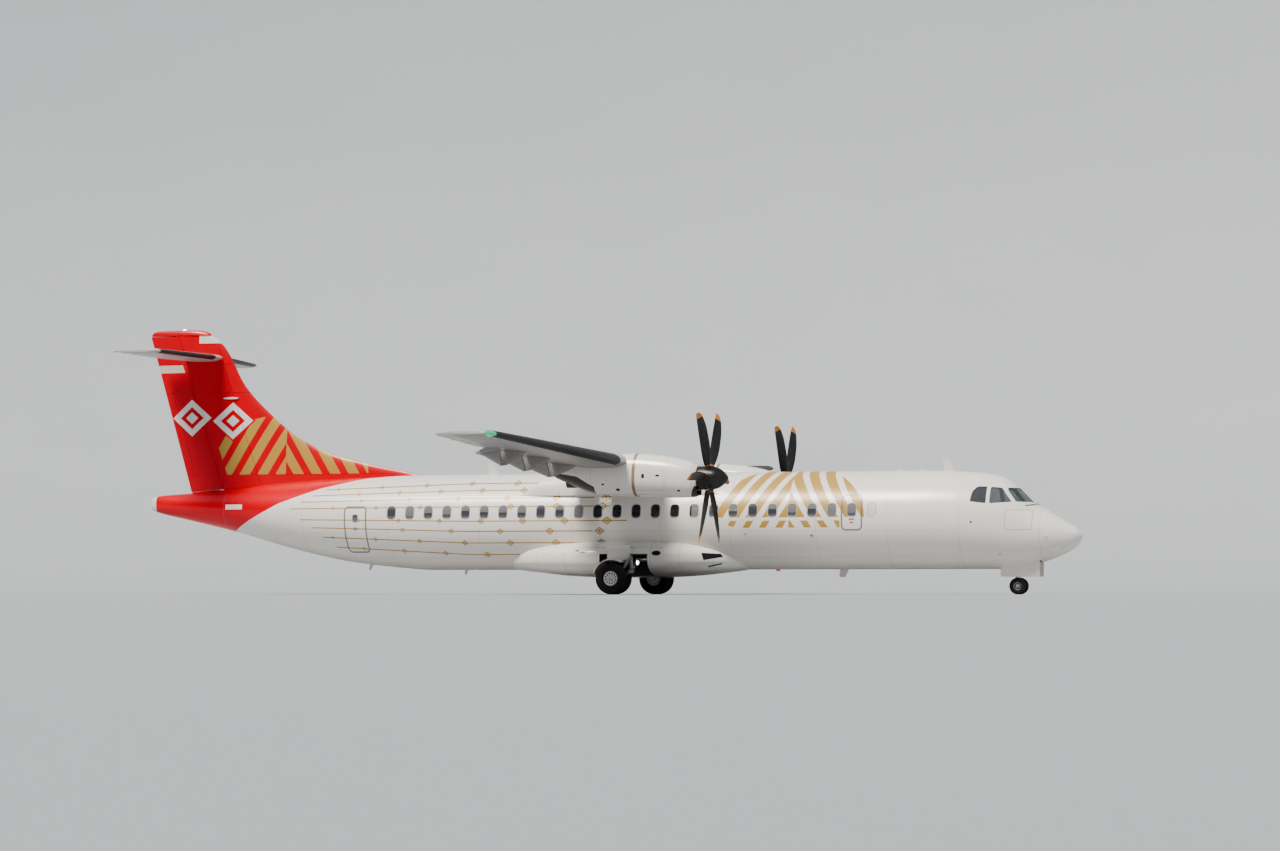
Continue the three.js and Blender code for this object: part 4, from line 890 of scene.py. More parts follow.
def fin_paint():
    finish = Finish("fin_paint")
    station = NOSE_X - finish.x
    tone = finish.noise(.6, 3)
    finish.body = finish.mix(tone * .55, RED, DEEP_RED)
    # Gold bars within half an oval, as over the forward windows, but clear of the lozenges
    white, near = [], []
    for at, height, half in FIN_LOZENGES:
        reach = abs(station - at) / half + abs(finish.z - height) / (half * .86)
        white += [reach.between(.6, 1.0), reach < .32]
        near.append(reach < 1.12)
    clear = 1 - any_of(*near)
    along, up = station - 22.9, finish.z - 3.42
    within = ((along / 2.5) ** 2 + (up / 1.72) ** 2 < 1) * (up > 0)
    ahead_of_hinge = station < 24.72 + up * HINGE_SLOPE
    bars = within * ahead_of_hinge * clear * leaning_bars(along, up, .56, .58)
    finish.over(bars, gilded(finish))
    finish.over(any_of(*white), (.8, .78, .75))
    climb = finish.z - FIN_BASE
    aft_of_hinge = station > 24.9 + climb * HINGE_SLOPE
    finish.over(finish.z.between(6.38, 6.6) * aft_of_hinge, (.62, .56, .48))
    joints = lines_at(finish.z, (3.42, 5.78, 6.62), .006)
    joints = joints.most(lines_at(station - HINGE_LINE[0] - climb * HINGE_SLOPE, (-1.25, -.135), .007))
    tab = abs(station - 25.62 - climb * .3) < .006
    joints = joints.most(tab * finish.z.between(3.5, 5.8)) * (finish.z > 3.2)
    finish.over(joints * .6, (.1, .008, .008))
    return finish.done(tone * .1 + .3, finish.noise(1.2, 0) * .4 - joints * .8, .004, .2, coat=(.3, .2))


# %% [markdown]
# ## Metal, rubber and black composite
# Blades are satin black with worn patches, orange tips and an orange mark near the root.
# Tyres have circular grooves and dust. Gear legs are satin steel with patches of grime.

# %% Blades, rubber and metals
SHAFT_Z = 3.075
ENGINE_Y = 4.05
BLADE_TIP = 1.965


def blade_finish():
    finish = Finish("propeller_black")
    across = abs(finish.y) - ENGINE_Y
    up = finish.z - SHAFT_Z
    radius = (across ** 2 + up ** 2).sqrt()
    band = radius > BLADE_TIP - .16
    root = radius.between(.375, .4)
    grain = finish.noise(18, 4)
    worn = finish.noise(9, 4).soft(.52, .75)
    finish.body = finish.mix(grain * .6, (.01, .01, .011), (.026, .026, .028))
    finish.over(worn * .35, (.075, .072, .068))
    finish.over(band, (.8, .27, .035))
    finish.over(root, (.72, .24, .035))
    return finish.done(grain * .15 + .34, grain, .001, .25, coat=(.1, .2))


def tyre_finish():
    finish = Finish("tyre_tread")
    grain = finish.noise(45, 4)
    dust = finish.noise(6, 3).soft(.4, .8)
    finish.body = finish.mix(grain * .7, (.012, .0115, .011), (.03, .028, .027))
    finish.over(dust * .3, (.085, .072, .058))
    return finish.done(.78 + grain * .15, grain, .0015, .5)


def metal_finish(name, colour, second, roughness=.32, metallic=1.0, wear=.4):
    finish = Finish(name)
    grain = finish.noise(14, 4)
    grime = finish.noise(2.6, 4).soft(.45, .75)
    finish.body = finish.mix(grain * .6, colour, second)
    finish.over(grime * wear, (.05, .043, .036))
    return finish.done(roughness + grain * .2 + grime * .15, grain, .0012, .25, Metallic=metallic
        * (1 - grime * .4))


def flat_paint(name, colour, roughness=.42, coat=.2):
    finish = Finish(name)
    grain = finish.noise(12, 3)
    finish.body = finish.mix(grain * .5, colour, tuple(.72 * c for c in colour))
    return finish.done(roughness + grain * .15, grain, .001, .2, coat=(coat, .03))


red_paint = fin_paint()
blade_black = blade_finish()
tyre_rubber = tyre_finish()
gear_metal = metal_finish("gear_metal", (.46, .47, .48), (.34, .345, .35))
bright_metal = metal_finish("bright_metal", (.7, .7, .71), (.58, .58, .59), .18, wear=.15)
# Near-black paint laid in openings as painted shade
dark_hollow = flat_paint("dark_hollow", (.012, .012, .012), .8, coat=0.0)
exhaust_metal = metal_finish("exhaust_metal", (.16, .13, .105), (.08, .068, .058), .5, .9)
deck_grey = flat_paint("flight_deck_grey", (.15, .15, .152), .65)
boot_black = rubber_finish("ice_boot_rubber", (.018, .018, .019))
engine_metal = metal_finish("engine_metal", (.2, .19, .175), (.12, .115, .105), .5)
print("metals, rubber and black paints ready")


# %% [markdown]
# ## Cabin windows
# The cabin windows stand in one row at an even pitch, so a Geometry Nodes tree places them.
# It puts one window on each point of a line, then wraps the row on to the curved skin, so the pitch,
# the count and the height stay in one place. Each window is a clear pane in a thin raised frame.

# %% One window, and a tree that repeats it along the cabin
WINDOW_PITCH = .55
WINDOW_SIZE = (.235, .355, .095)  # width, height, corner radius
FIRST_WINDOW = 6.55
WINDOW_COUNT = 24
DOOR_WINDOWS = {  # by side: door, body, station, height
    -1: ("service_door", "airframe", 20.3, 2.12),
    1: ("passenger_door", "passenger_door", 20.46, 2.42)}


def spaced(points, step=.03):
    """The outline with more points on its long sides, to bend with the skin."""
    made = []
    for (x0, z0), (x1, z1) in zip(points, points[1:] + points[:1]):
        parts = max(1, math.ceil(math.hypot(x1 - x0, z1 - z0) / step))
        made += [(x0 + (x1 - x0) * k / parts, z0 + (z1 - z0) * k / parts) for k in range(parts)]
    return made


def window_frame(width, height, radius, rim=.02, depth=.006):
    """A flat frame round a pane, in X and Z, with its face at y = 0."""
    inner = spaced(rounded(0, 0, width, height, radius))
    outer = [(x * (1 + 2 * rim / width), z * (1 + 2 * rim / height)) for x, z in inner]
    rings = [(outer, -.012), (outer, depth * .5), ([((a + c) / 2, (b + d) / 2) for (a, b), (c, d)
        in zip(outer, inner)], depth), (inner, depth * .3), (inner, -.012)]
    verts = [(x, y, z) for ring, y in rings for x, z in ring]
    faces = bands(5, len(outer), 5)
    return outward(new_piece("window_frame", verts, faces))


def window_pane(width, height, radius):
    rings = [[(x * s, y, z * s) for x, z in spaced(rounded(0, 0, width, height, radius))] for s,
        y in ((1.0, -.012), (1.0, .001), (.7, .0014), (.4, .0016), (.15, .0017))]
    return loft("window_pane", rings)


def placing_tree(name, inputs, points):
    """A tree that puts a piece on each point of points(add, link, given), and paints it."""
    tree = bpy.data.node_groups.new(name, "GeometryNodeTree")
    keys = {}
    for key, kind in {"Piece": "Object", "Count": "Int", **inputs, "Finish": "Material"}.items():
        keys[key] = tree.interface.new_socket(name=key, in_out="INPUT", socket_type="NodeSocket"
            + kind).identifier
    tree.interface.new_socket(name="Geometry", in_out="OUTPUT", socket_type="NodeSocketGeometry")
    add, link = tree.nodes.new, tree.links.new
    given, result = add("NodeGroupInput").outputs, add("NodeGroupOutput")
    info, instance = add("GeometryNodeObjectInfo"), add("GeometryNodeInstanceOnPoints")
    realize, paint = add("GeometryNodeRealizeInstances"), add("GeometryNodeSetMaterial")
    link(given["Piece"], info.inputs["Object"])
    link(points(add, link, given), instance.inputs["Points"])
    link(info.outputs["Geometry"], instance.inputs["Instance"])
    link(instance.outputs[0], realize.inputs[0])
    link(realize.outputs[0], paint.inputs["Geometry"])
    link(given["Finish"], paint.inputs["Material"])
    link(paint.outputs[0], result.inputs[0])
    return tree, keys


def row_points(add, link, given):
    """Points along X from a start, aft at a pitch."""
    line, step, back = add("GeometryNodeMeshLine"), add("ShaderNodeCombineXYZ"), add("ShaderNodeMath")
    back.operation = "MULTIPLY"
    back.inputs[1].default_value = -1
    link(given["Pitch"], back.inputs[0])
    link(back.outputs[0], step.inputs["X"])
    link(given["Count"], line.inputs["Count"])
    link(given["Start"], line.inputs["Start Location"])
    link(step.outputs[0], line.inputs["Offset"])
    return line.outputs["Mesh"]


def repeated(name, placing, **given):
    """A placing tree run on an empty mesh, kept as a plain mesh."""
    row = new_piece(name, [], [])
    modifier = row.modifiers.new("row", "NODES")
    modifier.node_group, keys = placing
    for key, value in given.items():
        modifier[keys[key]] = value
    return bake(row)


WINDOW_ROW = placing_tree("window_row", {"Pitch": "Float", "Start": "Vector"}, row_points)


def wrapped(piece, sign, lift=0.0):
    """Moves a piece in X and Z at y = 0 straight out on to one side's skin."""
    for vertex in piece.data.vertices:
        x, y, z = vertex.co
        vertex.co = (x, sign * (hull_y(NOSE_X - x, z) + lift + y), z)
    return outward(piece) if sign < 0 else piece


def pane_finish():
    """Tinted acrylic, lighter grey as painted reflection except by the wing where it stays dark as painted
    shade, with a pale blind drawn part of the way down in some panes.
    """
    finish = Finish("cabin_window")
    along = (NOSE_X - finish.x) - FIRST_WINDOW + WINDOW_PITCH / 2
    number = (along / WINDOW_PITCH).floor() + (finish.y > 0) * 40
    drawn = finish.random_at(number, 7.3)
    shaded_by_wing = along.between(4.2, 7.0)
    blind = (drawn > .2) * (1 - shaded_by_wing) * (finish.z > WINDOW_Z + .16 - drawn * .34)
    # Lighter grey over the panes as painted reflection, strongest near their top and bottom; the panes by the
    # wing stay dark as painted shade
    tint_and_painted_reflection = (1 - shaded_by_wing) * (abs(finish.z - WINDOW_Z - .01).soft(.05, .17) * .35 + .2)
    edge = finish.noise(12, 2)
    finish.body = finish.mix(edge, (.012, .013, .016), (.03, .032, .038))
    finish.over(tint_and_painted_reflection, (.26, .265, .28))
    finish.over(blind * .8, (.25, .245, .24))
    return finish.done(edge * .04 + .05, coat=(.8, .03))


pane_acrylic = pane_finish()
frame_grey = flat_paint("window_frame_paint", (.5, .49, .47), .35)
sample_frame, sample_pane = window_frame(*WINDOW_SIZE), window_pane(*WINDOW_SIZE)
start = (NOSE_X - FIRST_WINDOW, 0, WINDOW_Z)
for side, sign in SIDES:
    for kind, sample, finish in (("frames", sample_frame, frame_grey), ("panes", sample_pane,
            pane_acrylic)):
        row = repeated(f"cabin_window_{kind}_{side}", WINDOW_ROW, Piece=sample, Count=WINDOW_COUNT,
            Pitch=WINDOW_PITCH, Start=start, Finish=finish)
        wrapped(row, sign, -.001)
        fit(row, row.name, "flight_deck_glass" if kind == "panes" else "white_paint", finish)
    # The exit's own window, and the pane in each door
    for name, body, at, height in (("exit", "airframe", 6.0, WINDOW_Z), DOOR_WINDOWS[sign]):
        size = WINDOW_SIZE if name == "exit" else (.15, .2, .06)
        for kind, maker, finish in ("frame", window_frame, frame_grey), ("pane", window_pane, pane_acrylic):
            piece = maker(*size)
            piece.data.transform(Matrix.Translation((NOSE_X - at, 0, height)))
            wrapped(piece, sign, -.001)
            fit(piece, f"{name}_window_{kind}_{side}", "white_paint", finish, body=body)
drop(sample_frame, sample_pane)
print(WINDOW_COUNT, "windows a side, at a pitch of", WINDOW_PITCH)


# %% [markdown]
# ## Wing, flaps, ailerons and spoilers
# A wing is a loft of foils. The functions below make one from a table, cut moving surfaces out of it
# along their hinge lines, and give each a round nose about its hinge so that it can turn in its space.
# Only the port side is built. The starboard side is its mirror image.

# %% Foil sections and hinged surfaces
FOIL_STEPS = (1 - np.cos(np.linspace(0, np.pi, 25))) / 2
CAMBER = .022
LONG = .7  # well past a wing's skin, up or down
SURFACE_GAP = .008
TOUCH_GAP = .0003  # between two pieces that touch


def row_at(table, value):
    return [np.interp(value, table[:, 0], column) for column in table.T]


def foil_at(fraction, chord, ratio, camber):
    fraction = np.asarray(fraction, float)
    shape = (.2969 * np.sqrt(fraction) - .126 * fraction - .3516 * fraction ** 2 + .2843 * fraction ** 3
        - .1015 * fraction ** 4)
    half = 5 * ratio * chord * shape + .003 * fraction
    mean = 4 * camber * chord * fraction * (1 - fraction)
    return mean + half, mean - half


def foil_points(chord, ratio, camber, margin=0.0):
    """Pairs of distance aft and rise, from the tail over the top to the tail again."""
    upper, lower = foil_at(FOIL_STEPS, chord, ratio, camber)
    aft = FOIL_STEPS * chord + margin * (2 * FOIL_STEPS - 1)
    grow = margin * np.sqrt(FOIL_STEPS)
    top, bottom = np.column_stack([aft, upper + grow]), np.column_stack([aft, lower - grow])
    return np.vstack([top[::-1], bottom[1:]])


def foil_ring(table, y, camber, margin=0.0):
    _, nose, chord, height, ratio = row_at(table, abs(y))
    points = foil_points(chord, ratio, camber, margin)
    return [(NOSE_X - nose - aft, y, height + rise) for aft, rise in points]


def flat_surface(table, places, camber, margin=0.0, name="surface"):
    return loft(name, [foil_ring(table, y, camber, margin) for y in places])


def chord_space(table, ys, fractions, heights=(-LONG, LONG)):
    rings = []
    for y in ys:
        _, nose, chord, height, _ = row_at(table, y)
        x = [NOSE_X - nose - f * chord for f in fractions]
        rings.append([(x[i], y, height + heights[j]) for i, j in ((0, 0), (1, 0), (1, 1), (0, 1))])
    return loft("space", rings)


def hinge_in(table, y, fraction, camber):
    _, nose, chord, height, ratio = row_at(table, y)
    upper, lower = foil_at(fraction, chord, ratio, camber)
    return (NOSE_X - nose - fraction * chord, y, height + (upper + lower) / 2), (upper - lower) / 2


def hinged(whole, table, ys, fraction, camber, name):
    """Cuts a surface along a hinge, and returns the moving piece."""
    (start, r0), (finish, r1) = (hinge_in(table, y, fraction, camber) for y in ys)

    def round_nose(margin):
        return bar(past(start, finish, .03), past(finish, start, .03), r0 + margin, r1 + margin, 48)

    def reach(low, fractions, heights):
        return chord_space(table, (ys[0] - low, ys[1] + low), fractions, heights)

    def behind():
        return reach(.03, (fraction, 1.3), (-LONG, LONG))

    slab = (.4, 1.2), (-.6, .6)
    moving = common(common(joined(behind(), round_nose(0)), reach(0, *slab)), whole, keep=True)
    cut(whole, common(joined(behind(), round_nose(SURFACE_GAP)), reach(SURFACE_GAP, *slab)))
    moving.name = name
    return moving


def side_name(name, side):
    return name.replace("left", side)


def fit_pair(piece, name, slot, finish, *nodes, body="airframe", degrees=32):
    """Fits a port piece, and its mirror image to starboard with right for left in its names."""
    other = flipped(twin(piece))
    fit(piece, name, slot, finish, *nodes, body=body, degrees=degrees)
    fit(other, side_name(name, "right"), slot, finish, *(side_name(node, "right") for node in nodes),
        body=side_name(body, "right"), degrees=degrees)
    return piece, other


# %% [markdown]
# ## The wing's paint
# The wing's outer leading edge carries a black rubber boot that inflates to break ice.
# Its edge follows the wing's nose line, so the mask measures how far aft of that line a point is.

# %% Wing finish
WING_NOSE, NOSE_SWEEP = 11.37, (11.99 - 11.37) / (13.18 - WING_JOINT)
BOOT_START, BOOT_DEPTH = 4.98, .16


def wing_finish():
    finish = Finish("wing_skin_paint")
    station = NOSE_X - finish.x
    span = abs(finish.y)
    outboard = (span - WING_JOINT).most(0)
    aft = station - WING_NOSE - outboard * NOSE_SWEEP
    tone, grain = finish.noise(.5, 4), finish.noise(7, 3, .4, 1, 1)
    below = finish.z < 3.5 + outboard * .0437
    finish.body = finish.mix(tone * .5 + grain * .15, (.56, .555, .54), (.45, .445, .43))
    # The underside is painted much darker, as painted shade
    finish.over(below * .75, (.2, .185, .168))
    ribs = abs(span.cycle(1.1) - .5) * 1.1 < .0045
    hatch = box_distance(span.cycle(1.1) * 1.1 - .55, aft - .7, .42, .24, .12)
    joints = any_of(ribs, lines_at(aft, (.36, 1.05, 1.52), .005), hatch.between(-.004, .004) * below
        * (span > 5))
    finish.over(joints * .55, (.2, .195, .185))
    streaks = finish.noise(2.2, 4, .08, 1.6, 1).soft(.52, .78)
    finish.over(streaks * .35, (.22, .2, .175))
    boot = (aft < BOOT_DEPTH) * (span > BOOT_START) * (span < 13.3)
    edge = (aft.between(BOOT_DEPTH, BOOT_DEPTH + .018)) * (span > BOOT_START)
    tubes = (abs(span.cycle(.9) - .5) * .9 < .004) * boot
    finish.over(edge, (.6, .6, .6))
    finish.over(boot, finish.mix(grain * .6, (.013, .013, .014), (.032, .031, .03)))
    roughness = (grain * .1 + .34) * (1 - boot) + boot * .55
    return finish.done(roughness, finish.noise(2.4, 3) * .5 - joints * .7 - tubes * .5, coat=(.12, .25))


def flap_finish():
    """Darker where the exhaust and the spray reach, with riveted rib lines."""
    finish = Finish("flap_paint")
    span = abs(finish.y)
    tone, grain = finish.noise(.7, 4), finish.noise(7, 3, .4, 1, 1)
    finish.body = finish.mix(tone * .6 + grain * .2, (.42, .405, .385), (.3, .285, .27))
    joints = abs(span.cycle(.62) - .5) * .62 < .004
    soot = finish.noise(1.5, 4, .15, 1, 1).soft(.35, .7) * span.between(3.2, 5.3)
    finish.over(joints * .5, (.2, .19, .18))
    finish.over(soot * .55, (.14, .125, .11))
    return finish.done(grain * .15 + .4, finish.noise(3, 3) * .5 - joints * .6, .004, .3, coat=(.1, .03))


wing_skin, flap_paint = wing_finish(), flap_finish()

# %% Build the wing
FLAPS = {"inboard": ((1.6, 3.4), (2.75,)), "outboard": ((4.77, 9.6), (5.4, 7.5, 9.35))}
FLAP_START, FLAP_REST, FLAP_GAP = .7, math.radians(15), .012
HINGE_CHORD, HINGE_DROP = .715, .43
AILERON, SPOILER, SPOILER_CHORD = (9.9, 13.15), (7.9, 9.5), (.585, .685)
TIP_ROWS = np.array([(13.18, 11.99, 1.59, 3.90112, .13), (13.32, 12.035, 1.5, 3.907, .118),
    (13.43, 12.1, 1.385, 3.912, .1), (13.49, 12.17, 1.275, 3.9145, .083), (13.525, 12.27, 1.15, 3.91612,
    .055)])
WING = np.vstack([WING[:2], TIP_ROWS])


def flap_hinge(y):
    _, nose, chord, height, _ = row_at(WING, y)
    return spot(nose + HINGE_CHORD * chord, y, height - HINGE_DROP)


def pod(profile, y, top, half, name):
    """A slim fairing: a keel through (x, z) points, with rounded sides."""
    xs, zs = zip(*sorted(profile))
    dense = sorted({*np.linspace(xs[0], xs[-1], 26), *xs})
    low = np.interp(dense, xs, zs)
    rings = []
    for x, z in zip(dense, low):
        slim = half * min(1, .35 + (top - z) / .16)
        circle = zip(np.cos(turns(24)), np.sin(turns(24)))
        rings.append([(x, y + slim * np.sign(a) * abs(a) ** .7, (top + z) / 2 + (top - z) / 2 * np.sign(b)
            * abs(b) ** .7) for a, b in circle])
    return loft(name, rings)


def flap_pods(y):
    _, nose, chord, height, _ = row_at(WING, y)
    hinge = flap_hinge(y)
    x = [NOSE_X - nose - f * chord for f in (.36, .5, .93, .97)]
    front = pod([(x[0], height - .06), (x[1], hinge.z + .14), (hinge.x + .11, hinge.z - .02),
        (hinge.x + .006, hinge.z - .04)], y, height, .048, "pod_front")
    rear = pod([(hinge.x - .006, hinge.z - .04), (hinge.x - .06, hinge.z - .03), (x[2], height - .09),
        (x[3], height - .012)], y, height, .048, "pod_rear")
    for half in (front, rear):
        cut(half, pin(hinge, .06, .044))
    return front, rear, hinge


def hinge_fittings(hinge, y):
    """Two ears and a pin on the wing, and the tongue between them on the flap."""
    def arm(reach, low, near, far):
        shape = (0, -.03), (reach, low), (reach, .03), (0, .03)
        return plate_across([(hinge.x + x, hinge.z + z) for x, z in shape], y + near, y + far)

    fixed = [pin(hinge, .044, .014)]
    for hand in (-1, 1):
        a, b = (Vector((0, hand * r, 0)) for r in (.022, .044))
        fixed.append(bar(hinge + a, hinge + b, .036))
        fixed.append(arm(.09, -.012, hand * .022, hand * .044))
    tongue = cut(joined(pin(hinge, .018, .036), arm(-.09, -.02, -.018, .018)), pin(hinge, .06, .0149))
    return joined(fixed[0], *fixed[1:]), tongue


def flap_from(wing, part):
    """Cuts one port flap and its cove, adds the fairings, and turns the flap to its parked angle."""
    (y0, y1), fairings = FLAPS[part]
    ends = y0 - SURFACE_GAP, y1 + SURFACE_GAP
    flap = common(chord_space(WING, (y0, y1), (FLAP_START, 1.2)), wing, keep=True)
    flap.name = "flap_" + part
    start = FLAP_START - FLAP_GAP / ROOT_CHORD
    under = float(foil_at(FLAP_START, ROOT_CHORD, .18, CAMBER)[1]) - FLAP_GAP
    cut(wing, chord_space(WING, ends, (start, 1.2)))
    fixed = []
    for y in fairings:
        front, rear, hinge = flap_pods(y)
        ears, tongue = hinge_fittings(hinge, y)
        cut(front, chord_space(WING, ends, (start, 1.2), (under, LONG)))
        fixed += [front, ears]
        joined(flap, rear, tongue)
    axis = (flap_hinge(y1) - flap_hinge(y0)).normalized()
    turn = Matrix.Translation(flap_hinge(y0)) @ Matrix.Rotation(-FLAP_REST, 4, axis)
    flap.data.transform(turn @ Matrix.Translation(-flap_hinge(y0)))
    return flap, fixed


def upper_skin(y, fraction):
    """Station and height of the wing's upper skin, and the height of the chord."""
    _, nose, chord, height, ratio = row_at(WING, y)
    return nose + fraction * chord, height + float(foil_at(fraction, chord, ratio, CAMBER)[0]), height


def spoiler_from(wing):
    """Cuts the roll spoiler out of the upper skin, with its round nose."""
    start, finish = (spot(s, y, z - .014) for y in SPOILER for s, z, _ in [upper_skin(y, SPOILER_CHORD[0])])

    def bed(margin):
        rings = []
        for y in (SPOILER[0] - margin, SPOILER[1] + margin):
            (s0, z0, middle), (s1, z1, _) = (upper_skin(y, f) for f in SPOILER_CHORD)
            low, high = -.034 - margin, middle + .4
            rings.append([(NOSE_X - s, y, z) for s, z in ((s0, z0 + low), (s1 + margin, z1 + low),
                (s1 + margin, high), (s0, high))])
        return joined(loft("bed", rings), bar(past(start, finish, margin), past(finish, start, margin),
            .014 + margin))

    moving = common(bed(0), wing, keep=True)
    cut(wing, bed(SURFACE_GAP))
    joined(wing, *(bar(past(a, b, .04), past(a, b, -.03), .005) for a, b in ((start, finish),
        (finish, start))))
    return moving


outer = flat_surface(WING, [4.6803, *TIP_ROWS[:, 0]], CAMBER, name="wing_outer")
flap, fixed = flap_from(outer, "outboard")
aileron = hinged(outer, WING, AILERON, .7, CAMBER, "aileron")
spoiler = spoiler_from(outer)
joined(outer, *fixed)
dress(outer, "wing_outer_left", "grey_paint", wing_skin, fit_pair)
dress(flap, "flap_outboard_left", "grey_paint", flap_paint, fit_pair)
dress(aileron, "aileron_left", "grey_paint", flap_paint, fit_pair)
dress(spoiler, "spoiler_left", "grey_paint", wing_skin, fit_pair)

centre = flat_surface(WING, (0, WING_JOINT), CAMBER, name="wing_centre")
flap, fixed = flap_from(centre, "inboard")
joined(centre, *fixed)
whole = joined(flipped(twin(centre)), centre)
dress(whole, "wing_centre", "grey_paint", wing_skin)
dress(flap, "flap_inboard_left", "grey_paint", flap_paint, fit_pair)
print("wing, flaps, ailerons and spoilers ready")


# %% [markdown]
# ## Fin, rudder, tailplane and elevators
# The fin's leading edge sweeps forward into a long dorsal fillet, so its rings are close together
# low down. The rudder turns about a slanted hinge, and its foot is cut to clear the tail cone.

# %% Build the tail
FIN = np.array([(2.9, 17.0), (3.45, 19.25), (3.72, 20.52), (3.99, 21.56), (4.4, 22.44), (5.17, 23.44),
    (5.94, 24.18), (7.16, 24.9), (7.46, 25.25)])
FIN_SHAPE = np.array([(0, 0), (.1414, .2), (.283, .42), (.469, .7), (.648, .92), (.825, 1), (1.02, .84)])
RUDDER_FOOT, RUDDER_TOP, RUDDER_GAP = 2.9, 7.438, .012
RUDDER_EDGE = (25.89, 27.17, 7.45)  # stations of its trailing edge at the fin's base and at this height
FIN_CAP = np.array([(7.458, 25.25, 27.16, .12), (7.51, 25.31, 27.13, .117), (7.56, 25.42, 27.08, .11),
    (7.59, 25.56, 26.97, .098), (7.61, 25.72, 26.84, .08)])
TAILPLANE = np.array([(0, 24.9, 1.85, 6.8, .12), (3.48, 25.335, 1.425, 6.8, .11), (3.56, 25.365, 1.375, 6.8,
    .1), (3.62, 25.41, 1.31, 6.8, .088), (3.655, 25.48, 1.2, 6.8, .07)])
ELEVATOR, RUDDER_BAY = (.43, 3.44), (26.03, .426)


def fin_half(z):
    return np.interp(z, (FIN_BASE, FIN_TOP), (.124, .1), left=.1245, right=.1)


def on_line(z, low, high, top=FIN_TOP):
    """The station at a height of a line between stations at the fin's base and top."""
    return low + (high - low) * (z - FIN_BASE) / (top - FIN_BASE)


def rudder_hinge(z):
    return spot(on_line(z, *HINGE_LINE), 0, z)


def fin_ring(z):
    nose = smooth_curve(FIN, z)[0][0]
    hinge = on_line(z, *HINGE_LINE)
    shares = np.linspace(0, 1.02, 22)
    half = fin_half(z) * smooth_curve(FIN_SHAPE, shares)[:, 0]
    x = [NOSE_X - (nose + (hinge - nose) * u ** 2) for u in shares] + [NOSE_X - on_line(z, *RUDDER_EDGE)]
    half = [*half, .003]
    port = [(a, b, z) for a, b in zip(x, half)]
    return port[::-1] + [(a, -b, z) for a, b, _ in port[1:]]


def wedge_behind(top):
    low = RUDDER_FOOT - .2
    shape = [(rudder_hinge(low).x, low), (rudder_hinge(top).x, top), (-NOSE_X - .9, top), (-NOSE_X - .9,
        low)]
    return plate_across(shape, -.6, .6)


def rudder_round(margin):
    ends = [rudder_hinge(z) for z in (RUDDER_FOOT, RUDDER_TOP)]
    radii = [float(fin_half(z)) * .858 + margin for z in (RUDDER_FOOT, RUDDER_TOP)]
    return bar(past(*ends, .03), past(*ends[::-1], .03), *radii, 48)


heights = sorted({*np.linspace(2.9, 4.4, 31), *np.linspace(4.4, FIN_TOP, 30)})
fin = loft("fin", [fin_ring(z) for z in heights])
rudder = common(joined(wedge_behind(RUDDER_TOP + .03), rudder_round(0)), block((23, 29), (-.5, .5),
    (2.9, RUDDER_TOP)))
common(rudder, fin, keep=True)
cut(rudder, hull_between(22.8, 27.1, -.026))
cut(fin, common(joined(wedge_behind(RUDDER_TOP + .04), rudder_round(RUDDER_GAP)), block((23, 29), (-.5, .5),
    (2.75, RUDDER_TOP + .022))))
cut(fin, bar(rudder_hinge(2.85), rudder_hinge(2.92), .119))
tailplane = loft("tailplane", [foil_ring(TAILPLANE, y, 0) for y in [*-TAILPLANE[:0:-1, 0], 0, *TAILPLANE[1:,
    0]]])
cut(fin, tailplane, keep=True)
cut(fin, hull_between(16.9, 26.5, -TOUCH_GAP))
joined(fin, bar(rudder_hinge(RUDDER_TOP + .05), rudder_hinge(RUDDER_TOP - .045), .012))
dress(fin, "fin", "red_paint", red_paint)
dress(rudder, "rudder", "red_paint", red_paint)

cap_rings = []
for z, nose, tail, ratio in FIN_CAP:
    points = foil_points(tail - nose, ratio, 0)
    cap_rings.append([(NOSE_X - nose - aft, rise, z) for aft, rise in points])
cap = joined(loft("fin_cap", cap_rings), block((26.3, 27.12), (-.005, .005), (RUDDER_TOP + .007, 7.461)))
fit(cap, "fin_cap", "red_paint", red_paint)

cut(tailplane, block((RUDDER_BAY[0], 28), (-RUDDER_BAY[1], RUDDER_BAY[1]), (6, 7.4)))
elevator = hinged(tailplane, TAILPLANE, ELEVATOR, .7, 0, "elevator")
flipped(tailplane)
drop(hinged(tailplane, TAILPLANE, ELEVATOR, .7, 0, "other_elevator"))


def tail_finish():
    """Pale grey above, darker below as painted shade, with a black boot along the leading edge."""
    finish = Finish("tailplane_skin_paint")
    span = abs(finish.y)
    aft = (NOSE_X - finish.x) - 24.9 - span * .125
    tone = finish.noise(.8, 4)
    finish.body = finish.mix(tone * .5, (.62, .61, .59), (.48, .47, .455))
    # The underside is painted darker, as painted shade
    finish.over((finish.z < 6.79) * .45, (.33, .315, .3))
    joints = (abs(span.cycle(.74) - .5) * .74 < .004).most(abs(aft - .42) < .004)
    finish.over(joints * .5, (.2, .195, .185))
    boot = (aft < .13) * span.between(.42, 3.4)
    finish.over(boot, finish.mix(tone, (.013, .013, .014), (.03, .03, .03)))
    return finish.done(tone * .12 + .34 + boot * .15, finish.noise(2.6, 3) * .5 - joints * .7, .004, .3,
        coat=(.15, .03))


tail_skin = tail_finish()
dress(tailplane, "tailplane", "white_paint", tail_skin)
dress(elevator, "elevator_left", "white_paint", tail_skin, fit_pair)
print("fin, rudder, tailplane and elevators ready")


# %% [markdown]
# ## Nacelles, engines and propellers
# Each nacelle is an oval loft with squared shoulders, an intake under the spinner and an exhaust pipe.
# The blades are lofts of thin twisted sections: wide and flat at mid span, swept back at the tip.

